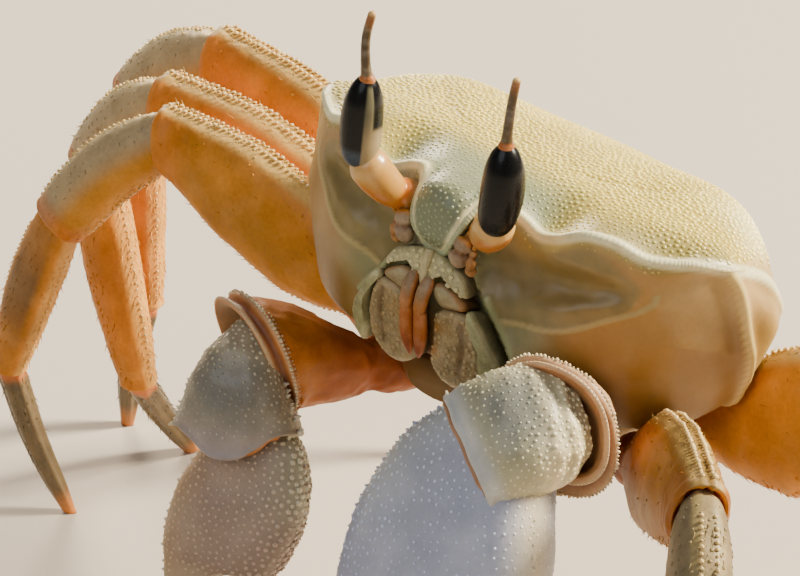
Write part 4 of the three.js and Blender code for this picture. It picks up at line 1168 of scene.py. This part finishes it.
def buildClaw(claw):
    side, size, grain, tooth = claw["side"], claw["size"], claw["grain"], claw["tooth"]
    label = side.title()
    base, elbow, wrist, heel = (np.array(claw[key], float) for key in ("base", "elbow", "wrist", "heel"))
    along = unit(claw["along"])
    upper = np.array(claw["upper"], float)
    upper = unit(upper - along * upper.dot(along))
    outward = np.cross(along, upper)

    def spot(forward, rise, out=0.0):
        return heel + along * forward * size + upper * (rise + claw["shift"]) * size + outward * out * size

    arm = Loft([base, (base + elbow) / 2 + [0, 0, -0.6], elbow], scaledStations([
        [-0.12, 1.9], [0.0, 2.4, 2.3], [0.16, 2.5, 2.4], [0.24, 2.2, 2.1], [0.34, 2.7], [0.62, 3.9, 3.9, 3.7],
        [0.86, 4.8, 5.2, 4.9], [0.92, 4.9, 5.4, 5.1], [0.97, 4.55, 5.05, 4.75], [1.02, 4.4, 4.9, 4.6],
        [1.045, 4.1, 4.55, 4.25], [1.03, 3.8, 4.25, 3.95], [0.92, 3.4, 3.8, 3.5]], claw["arm"]),
        (0, 0, 1), sides=96, perSpan=8, square=0.85)
    faceEnd(arm, claw["facing"])
    rimOuter = bell((arm.s - 7.0) / 0.35)
    rimInner = bell((arm.s - 9.2) / 0.5)
    rough = 0.06 * ripple(arm.points, 1.6, 61) * (arm.s < 7)
    arm.push(0.28 * rimOuter + 0.2 * rimInner - 0.25 * bell((arm.s - 8.1) / 0.4) + rough)
    paleArm, deepArm = claw["armTint"]
    armTint = mix(paleArm, deepArm, smooth01((0.8 - arm.place) / 0.35)) * (1 + 0.12
        * ripple(arm.points, 3, 62)[..., None])
    armTint = mix(armTint, tone(206, 186, 158), np.maximum(rimOuter * 0.6, rimInner * 0.8))
    armTint = mix(armTint, tone(122, 88, 78), 0.85 * bell((arm.s - 8.1) / 0.5))
    arm.tint[:] = mix(armTint, tone(152, 120, 92), smooth01((arm.s - 9.9) / 0.5))
    keep(arm.piece("clawArm" + label, legMaterial), "claw_arm", "claw_merus_" + side)
    rimTeeth = []
    for ringNumber, lift, big in ((7.0, 0.35, 1.0), (6.4, 0.1, 0.6), (9.2, 0.3, 0.35)):
        line, ways = rimLine(arm, ringNumber, 0, 360, lift)
        rimTeeth.append((line, ways, big, tone(226, 208, 178)))
    keep(teeth("clawArmTeeth" + label, rimTeeth, {
        "Spacing": 0.00034, "Width": 0.00014, "Length": 0.00015, "Spread": 0.4, "Blunt": 0.5, "Seed": 15,
        "Material": clawMaterial}), "claw_arm")

    hand = Loft([elbow, (elbow + wrist) / 2 + [0, -0.5, 0.3], wrist], claw["wristShape"], claw["wristHint"],
                sides=84, perSpan=10, square=0.72)
    sine = hand.sine
    # the back runs out to a blunt tongue
    reach = claw["tongue"] * bell((hand.angle - 92) / 28) * smooth01((hand.place - 0.55) / 0.45)
    hand.points = hand.points + hand.tangent[:, None] * reach[..., None]
    dorsal = smooth01((sine + 0.35) / 0.6)
    rim = bell((hand.s - 6.0) / 0.6)
    nearSide = smooth01((0.55 - hand.place) / 0.3)
    ribs = np.cos(hand.place * hand.length * 2 * math.pi / 1.5 + 0.6 * ripple(hand.points, 6, 65))
    ribs = ribs * nearSide * dorsal * claw["ribs"]
    hand.push(0.2 * rim + 0.05 * ripple(hand.points, 1.8, 64) + 0.07 * ribs)
    handTint = mix(np.broadcast_to(tone(190, 184, 156), hand.points.shape), tone(152, 142, 124), claw["warm"])
    # cream on the near side, brightest on the rib crests: partly its own cream, partly painted sunlight
    handTint = mix(handTint, tone(244, 230, 194), nearSide * (0.9 - 0.7 * claw["warm"])
                   * (0.6 + 0.4 * smooth01(ribs * 2)))
    core = bell((hand.place - (0.44 + 0.14 * claw["warm"])) / 0.28) * bell((hand.angle - 96) / 44)
    handTint = mix(handTint, mix(tone(104, 108, 106), tone(108, 106, 100), claw["warm"]), 0.9 * core)
    flange = smooth01((hand.place - 0.7) / 0.25) * dorsal * mix(1.0, bell((hand.angle - 100) / 45),
        claw["warm"])
    handTint = mix(handTint, mix(tone(196, 198, 200), tone(160, 150, 152), claw["warm"]), 0.8 * flange)
    handTint = mix(handTint, tone(196, 170, 130), smooth01((0.0 - sine) / 0.5))
    handTint = mix(handTint, tone(176, 132, 78), smooth01((hand.s - 6.7) / 0.5))
    hand.tint[:] = handTint * (1 + 0.05 * ripple(hand.points, 2.4, 63)[..., None])
    hand.masks["beads"] = dorsal * smooth01((0.98 - hand.place) / 0.1) * (1 - flange) * (hand.s < 6.2)
    hand.masks["beadScale"] = 0.7 + 0.3 * nearSide
    handSkin = keep(hand.piece("clawWrist" + label, clawMaterial), "claw_wrist", "claw_carpus_" + side)
    addGrains("clawWristGrains" + label, [handSkin], "claw_wrist", beadMaterial, {
        "Spacing": 0.00046, "Size": 0.00016, "Height": 0.42, "Spread": 0.3, "Seed": 11})
    wristTeeth = []
    for degrees, big, start in claw["wristEdges"]:
        line, ways = edgeLine(hand, degrees, start, 1.02)
        wristTeeth.append((line, ways, big, tone(224, 214, 190)))
    keep(teeth("clawWristTeeth" + label, wristTeeth, {
        "Spacing": 0.0009, "Width": 0.00028, "Length": 0.00055, "Spread": 0.45, "Blunt": 0.3, "Seed": 16,
        "Material": clawMaterial}), "claw_wrist")

    palm = Loft([spot(0, 0), spot(palmLength / 2, 0, 0.4), spot(palmLength, 0)], scaledStations([
        [-0.12, 2.0, 4.8, 0.6], [-0.08, 2.9, 6.6, 1.8], [-0.03, 3.4, 7.7, 3.2], [0.05, 4.0, 9.0, 5.0],
        [0.12, 4.3, 9.7, 6.4], [0.28, 4.7, 10.1, 7.9], [0.42, 4.5, 9.3, 8.5],
        [0.52, 3.9, 8.0, 8.3], [0.56, 3.3, 4.0, 8.1], [0.59, 2.9, 0.4, 7.9], [0.68, 2.6, -0.8, 7.2],
        [0.84, 1.9, -1.6, 5.5], [0.95, 1.2, -2.0, 4.1], [1.0, 0.6, -2.3, 3.3]], size),
        upper, sides=96, perSpan=9, square=0.85)
    away = -1 if (outward @ palm.across[0]) < 0 else 1
    outer = smooth01((away * palm.cosine + 0.35) / 0.7)
    jaw = smooth01((palm.place - 0.58) / 0.04)
    jawTeeth = 0.3 * jaw * bell((palm.angle - 90) / 20) * np.cos(palm.place * palmLength * 2.6) ** 2
    palm.push(0.08 * ripple(palm.points, 3.5, 66) * outer + jawTeeth)
    palmTint = claw["palmTint"] * (1 + 0.05 * ripple(palm.points, 5, 67)[..., None])
    palmTint = mix(palmTint, tone(186, 188, 164), 0.6 * bell((palm.angle - 90) / 55)
                   * smooth01((0.4 - palm.place) / 0.3))
    underTint = mix(tone(226, 216, 190), tone(196, 162, 122), claw["warm"])
    palmTint = mix(palmTint, underTint, 0.8 * palm.near(270, mix(26, 44, claw["warm"])))
    jawTint = mix(tone(226, 224, 214), tone(190, 168, 140), claw["warm"])
    palmTint = mix(palmTint, jawTint, 0.8 * smooth01((palm.place - 0.52) / 0.16))
    palm.tint[:] = palmTint
    palm.masks["beads"] = (0.8 + 0.2 * outer) * (1 - 0.8 * jaw)
    palm.masks["beadScale"] = 0.55 + 0.45 * palm.near(90, 50)
    palmSkin = keep(palm.piece("clawPalm" + label, clawMaterial), "claw", "claw_palm_" + side)
    addGrains("clawGrains" + label, [palmSkin], "claw", beadMaterial, {
        "Spacing": 0.00058 * grain[0], "Size": 0.00021 * grain[1], "Height": 0.48, "Spread": 0.3, "Seed": 12})
    rows = []
    for degrees, scale in ((90, 1.0), (80, 0.75), (100, 0.8), (70, 0.5), (111, 0.5)):
        line, ways = edgeLine(palm, degrees, -0.02, 0.54)
        rows.append((line, ways + along * 0.25, scale * tooth["scale"], claw["palmTint"] * 1.12))
    line, ways = edgeLine(palm, 270, 0.0, 0.95)
    rows.append((line, ways, tooth["under"], tone(232, 222, 196)))
    keep(teeth("clawSpines" + label, rows, {
        "Spacing": 0.00085 * tooth["spacing"], "Width": 0.0003 * tooth["width"],
        "Length": 0.00036 * tooth["length"], "Spread": 0.4, "Blunt": 0.25, "Seed": 5,
        "Material": clawMaterial}), "claw")

    finger = Loft([spot(16.2, 4.2), spot(22, 5.0), spot(27, 3.6), spot(31.5, 0.2)], scaledStations([
        [0.0, 2.5, 2.5, 2.3], [0.15, 2.7, 2.8, 2.5], [0.45, 2.2, 2.2, 2.0], [0.75, 1.5, 1.5, 1.4],
        [0.93, 0.9, 0.9, 0.8], [1.0, 0.45]], size),
        upper, sides=48, perSpan=14, square=0.9)
    finger.push(0.25 * finger.near(270, 22) * np.cos(finger.place * 26) ** 2 * smooth01(finger.place / 0.2)
                * size)
    fingerTint = claw["palmTint"] * 1.02 * (1 + 0.04 * ripple(finger.points, 3, 68)[..., None])
    finger.tint[:] = mix(fingerTint, tone(226, 222, 210), smooth01(finger.place / 0.6))
    finger.masks["beads"] = smooth01((0.7 - finger.place) / 0.3) * smooth01(finger.sine + 0.4)
    finger.masks["beadScale"] = np.full(finger.place.shape, 0.8)
    fingerSkin = keep(finger.piece("clawFinger" + label, clawMaterial), "claw", "claw_finger_" + side)
    addGrains("clawFingerGrains" + label, [fingerSkin], "claw", beadMaterial, {
        "Spacing": 0.001, "Size": 0.00024, "Height": 0.7, "Spread": 0.3, "Seed": 13})
    for name, maker, arguments, radius, tint in claw["folds"]:
        line, _ = maker(hand, *arguments)
        where = np.linspace(0, 1, len(line))
        thick = radius * np.maximum(0.3, smooth01(where / 0.2) * smooth01((1 - where) / 0.2))
        fold = Loft(line, np.stack([where, thick, thick, thick], -1), (0, -1, 0.2), sides=12, perSpan=2,
                    square=1.0)
        fold.tint[:] = tint * (1 + 0.08 * ripple(fold.points, 1.5, 90)[..., None])
        keep(fold.piece("wrist" + name + label, clawMaterial), "claw")


for claw in claws:
    buildClaw(claw)
print("claws done")

legs = {  # base, scale, segment lengths, then heading and lift of each segment in degrees
    "leg2_right": [(-11.8, -3.5, -19.9), 0.88, (25.6, 12.9, 17.1), (180, 186, 146, 59), (13, -50, -68, -59)],
    "leg3_right": [(-12.6, 0.6, -19.6), 1.0, (30.0, 13.2, 20), (176, 157, 45, 95), (10, -41, -69, -40)],
    "leg4_right": [(-13.0, 5.6, -19.2), 1.0, (32.0, 13, 19), (171, 162, 60, 120), (13.5, -34, -77, -68)],
    "leg5_right": [(-10.6, 10.0, -18.4), 0.7, (22, 9.5, 14.5), (135, 129, 98, 75), (9, -43, -72, -74)],
    "leg2_left": [(12.6, -3.6, -21.0), 0.88, (26.6, 11.8, 16.7), (-48, -44, -44, -60), (14.5, -46, -82, -84)],
    "leg3_left": [(12.8, 1.6, -19.8), 1.1, (30.8, 13.4, 20), (-12, -6, 0, 160), (24, -48, -78, -80)],
    "leg4_left": [(12.8, 5.8, -19.2), 1.0, (31.0, 13, 19), (9, 14, 25, 160), (26, -40, -79, -80)],
    "leg5_left": [(10.6, 10.0, -18.4), 0.7, (22, 9.5, 14.5), (43, 49, 70, 100), (7, -42, -72, -76)],
}
legShape = {
    "footBury": 0.35,
    "bow": (0.8, 0.7, 0.4, 0.7),
    "upper": [[-0.06, 1.8, 1.8, 1.9], [0.04, 2.2, 2.4], [0.12, 1.8, 2.1], [0.24, 2.2, 3.6],
              [0.42, 2.6, 4.9], [0.64, 2.6, 4.9, 4.6],
              [0.84, 2.45, 4.0, 3.45], [0.92, 2.35, 3.5, 2.9], [0.97, 2.25, 3.15, 2.6],
              [1.0, 2.1, 2.85, 2.35], [0.99, 1.9, 2.6, 2.1], [0.93, 1.6, 2.3, 1.8]],
    "knee": [[-0.1, 1.1, 1.5, 1.4], [0.02, 1.9, 2.5, 2.2], [0.12, 2.2, 2.95, 2.6], [0.4, 2.5, 3.3, 2.9],
             [0.8, 2.4, 3.1], [0.94, 2.2, 2.8, 2.9],
             [1.0, 2.0, 2.5, 2.7], [1.01, 1.8, 2.2, 2.4], [0.9, 1.4, 1.8, 1.9]],
    "shin": [[-0.06, 1.0, 1.3], [0.05, 1.8, 2.3], [0.4, 2.0, 2.7, 2.6], [0.8, 1.7, 2.2], [0.94, 1.45, 1.85],
             [1.0, 1.3, 1.6],
             [1.01, 1.15, 1.4], [0.93, 0.9, 1.1]],
    "foot": [[-0.05, 0.75, 0.85], [0.06, 1.15, 1.4], [0.2, 1.15, 1.35], [0.45, 1.05, 1.25],
             [0.8, 0.8, 0.95], [0.995, 0.5, 0.55]],
    "nodes": ("merus", "carpus", "propodus", "dactyl"),
}


def wayTo(heading, lift):
    h, r = math.radians(heading), math.radians(lift)
    return np.array([math.cos(r) * math.cos(h), math.cos(r) * math.sin(h), math.sin(r)])


def legTints(part, loft, name):
    sine = loft.sine
    upperEdge = smooth01((sine - 0.72) / 0.2)
    lowerEdge = smooth01((-sine - 0.8) / 0.15)
    noise = ripple(loft.points, 4.5, 71 + len(name))[..., None]
    t = loft.place
    if part == "upper":
        tint = tone(208, 144, 72) * (1 + 0.1 * noise)
        # darker low on the side of the segment: painted shade
        tint = mix(tint, tone(164, 118, 62), 0.6 * bell((sine + 0.25) / 0.4) * bell((t - 0.5) / 0.3))
        tint = mix(tint, tone(226, 196, 140), 0.9 * upperEdge)
        tint = mix(tint, tone(150, 116, 62), 0.6 * bell((sine - 1) / 0.004))
        tint = mix(tint, tone(206, 128, 68), 0.6 * smooth01((t - 0.8) / 0.12) * (1 - upperEdge))
        tint = mix(tint, tone(190, 104, 44), 0.7 * smooth01((0.16 - t) / 0.08))
    elif part == "knee":
        tint = tone(202, 144, 78) * (1 + 0.1 * noise)
        tint = mix(tint, tone(180, 166, 138), 0.9 * smooth01((sine + 0.45) / 0.7))
        tint = mix(tint, tone(228, 206, 156), 0.8 * bell((sine - 0.93) / 0.08))
        tint = mix(tint, tone(204, 116, 54), 0.5 * smooth01((t - 0.85) / 0.1))
    elif part == "shin":
        tint = tone(206, 140, 58) * (1 + 0.1 * noise)
        tint = mix(tint, tone(236, 200, 140), 0.7 * np.maximum(upperEdge, 0.6 * lowerEdge))
        # the shin's own grey, darkened further as painted shade
        if name == "leg2_left":
            tint = mix(tint, tone(66, 66, 62), 0.95 * smooth01((t - 0.02) / 0.08))
        if name in ("leg2_right", "leg3_left"):
            tint = mix(tint, tone(104, 84, 60), 0.85 * smooth01((0.85 - np.abs(sine)) / 0.4)
                       * bell((t - 0.42) / 0.36))
    else:
        tint = tone(104, 88, 62) * (1 + 0.1 * noise)
        tint = mix(tint, tone(196, 126, 66), smooth01((t - 0.78) / 0.18))
        tint = mix(tint, tone(214, 128, 60), smooth01((0.1 - t) / 0.08))
    return tint


def buildLeg(name):
    base, scale, lengths, headings, lifts = legs[name]
    ways = [wayTo(h, r) for h, r in zip(headings, lifts)]
    bend = unit(np.cross(ways[0], [0, 0, 1.0]))
    outerSides = [unit(np.cross(bend, way)) for way in ways]
    joints = [np.array(base, float)]
    for way, length in zip(ways, lengths):
        joints.append(joints[-1] + way * length)
    tip = -(joints[3] @ upInBody + stance["lift"] + legShape["footBury"]) / (ways[3] @ upInBody)
    joints.append(joints[-1] + ways[3] * tip)
    label = name.replace("_r", "R").replace("_l", "L")
    shade = 0.46 if name == "leg2_left" else 0.94
    slots = ("leg", "leg_knee", "leg", "foot")
    rows, hairSkins = [], []
    for k, part in enumerate(("upper", "knee", "shin", "foot")):
        middle = (joints[k] + joints[k + 1]) / 2 + outerSides[k] * legShape["bow"][k] * scale
        loft = Loft([joints[k], middle, joints[k + 1]], scaledStations(legShape[part], scale), outerSides[k],
                    sides=64 if part == "upper" else 48, perSpan=8, square=0.85 if part != "foot" else 0.9)
        if part == "foot":
            flutes = 0.1 * scale * np.cos(np.radians(loft.angle) * 6)
            loft.push(flutes * smooth01(loft.place / 0.1) * smooth01((0.95 - loft.place) / 0.2))
            flat = (loft.points @ upInBody) + stance["lift"]
            loft.points = loft.points + upInBody * above(-flat)[..., None]
        else:
            bevelEnds(loft, ways[k - 1] if k else None, ways[k + 1])
            lastOut = int(np.argmax(loft.place[:, 0]))
            rim = bell((loft.s - loft.s[lastOut, 0] + 0.9) / 0.5)
            edge = loft.near(82, 4.5) + loft.near(98, 4.5) + 0.7 * loft.near(270, 6)
            edge = edge * smooth01((loft.place - 0.1) / 0.1) * (0.85 + 0.15
                * np.cos(loft.place * loft.length * 7))
            rough = 0.04 * ripple(loft.points, 1.5, 73)
            loft.push(scale * (0.2 * rim + 0.2 * edge - 0.1 * loft.near(90, 4) + rough))
        loft.tint[:] = legTints(part, loft, name) * shade
        if part != "foot":
            inside = smooth01((loft.s - loft.s[lastOut, 0] - 0.15) / 0.3)
            loft.tint[:] = mix(loft.tint, tone(214, 150, 80), inside)
            for degrees, size in ((82, 1.0), (98, 1.0), (270, 0.75)):
                line, outward = edgeLine(loft, degrees, 0.12, 0.97)
                toothScale = size * (0.85 if part == "upper" else 0.7)
                rows.append((line, outward + ways[k] * 0.35, toothScale, tone(232, 204, 156)))
        sine = loft.sine
        hairy = (smooth01((np.abs(sine) - 0.8) / 0.18) + 0.04) * smooth01((loft.place - 0.08)
            / 0.1) * (loft.place < 0.97)
        if part == "shin":
            hairy = np.maximum(hairy, 0.45 * bell(sine / 0.5))
        if part == "foot":
            hairy = 0.5 * smooth01(loft.place / 0.1) * smooth01((0.85 - loft.place) / 0.3)
        loft.masks["bristles"] = hairy
        loft.masks["beadScale"] = np.full(loft.place.shape, scale)
        loft.masks["lean"] = np.broadcast_to(ways[k] * 1.3, loft.points.shape)
        grainy = 0.6 if part == "knee" else 0.15
        loft.masks["beads"] = smooth01((sine + 0.2) / 0.6) * grainy * (loft.place < 0.95) * (part != "foot")
        node = legShape["nodes"][k]
        skin = loft.piece(label + node.title(), footMaterial if part == "foot" else legMaterial)
        hairSkins.append(keep(skin, slots[k], name + "_" + node))
    keep(teeth(label + "Teeth", rows, {"Spacing": 0.0006 * scale, "Width": 0.00025 * scale,
                                       "Length": 0.00019 * scale, "Spread": 0.25, "Blunt": 0.7, "Seed": 6,
                                       "Material": legMaterial}), "leg")
    keep(scatter(label + "Bristles", hairSkins, bristleTree, {
        "Spacing": 0.0005, "Size": 0.00062, "Height": 1.0, "Spread": 0.4, "Stand": 0.55, "Seed": 7,
        "Where": "bristles", "Material": bristleMaterial}), "leg")
    addGrains(label + "Grains", hairSkins[:3], "leg", legMaterial, {
        "Spacing": 0.0007, "Size": 0.00018, "Height": 0.5, "Spread": 0.3, "Seed": 8})


for name in legs:
    buildLeg(name)
print("legs done")

floorMaterial = bpy.data.materials.new("paleFloor")
floorMaterial.use_nodes = True
floorShader = floorMaterial.node_tree.nodes["Principled BSDF"]
floorShader.inputs["Base Color"].default_value = (0.52, 0.47, 0.4, 1)
floorShader.inputs["Roughness"].default_value = 0.75
floorMesh = bpy.data.meshes.new("studioFloor")
floorMesh.from_pydata([(-4, -4, 0), (4, -4, 0), (4, 4, 0), (-4, 4, 0)], [], [(0, 1, 2, 3)])
floorMesh.materials.append(floorMaterial)
studioFloor = linked("studioFloor", floorMesh)


lampAim = (0, 0, 0.03)


def softLight(name, place, power, size, colour):
    light = bpy.data.lights.new(name, "AREA")
    light.shape, light.size = "DISK", size
    light.energy, light.color = power, colour
    lamp = linked(name, light)
    lamp.location = place
    lamp.rotation_euler = (Vector(lampAim) - Vector(place)).to_track_quat("-Z", "Y").to_euler()


softLight("keyLight", (0.30, 0.34, 0.40), 15.0, 0.16, (1.0, 0.88, 0.68))
softLight("rimLight", (-0.42, 0.30, 0.26), 3.5, 0.2, (1.0, 0.84, 0.62))
softLight("fillLight", (0.0, -0.60, 0.50), 2.2, 0.6, (0.92, 0.95, 1.0))
world = bpy.data.worlds.new("studio")
world.use_nodes = True
sky = world.node_tree.nodes["Background"]
sky.inputs["Color"].default_value = (0.85, 0.88, 0.95, 1)
sky.inputs["Strength"].default_value = 0.16
bpy.context.scene.world = world

cameraData = bpy.data.cameras.new("camera")
cameraData.lens, cameraData.sensor_width, cameraData.sensor_fit = 193.46, 36.0, "HORIZONTAL"
cameraData.clip_start, cameraData.clip_end = 0.01, 20
camera = linked("camera", cameraData)
camera.location = (0.17408, -0.24317, 0.16570)
camera.rotation_euler = [math.radians(v) for v in (66.502, -3.51, 38.837)]
bpy.context.scene.camera = camera
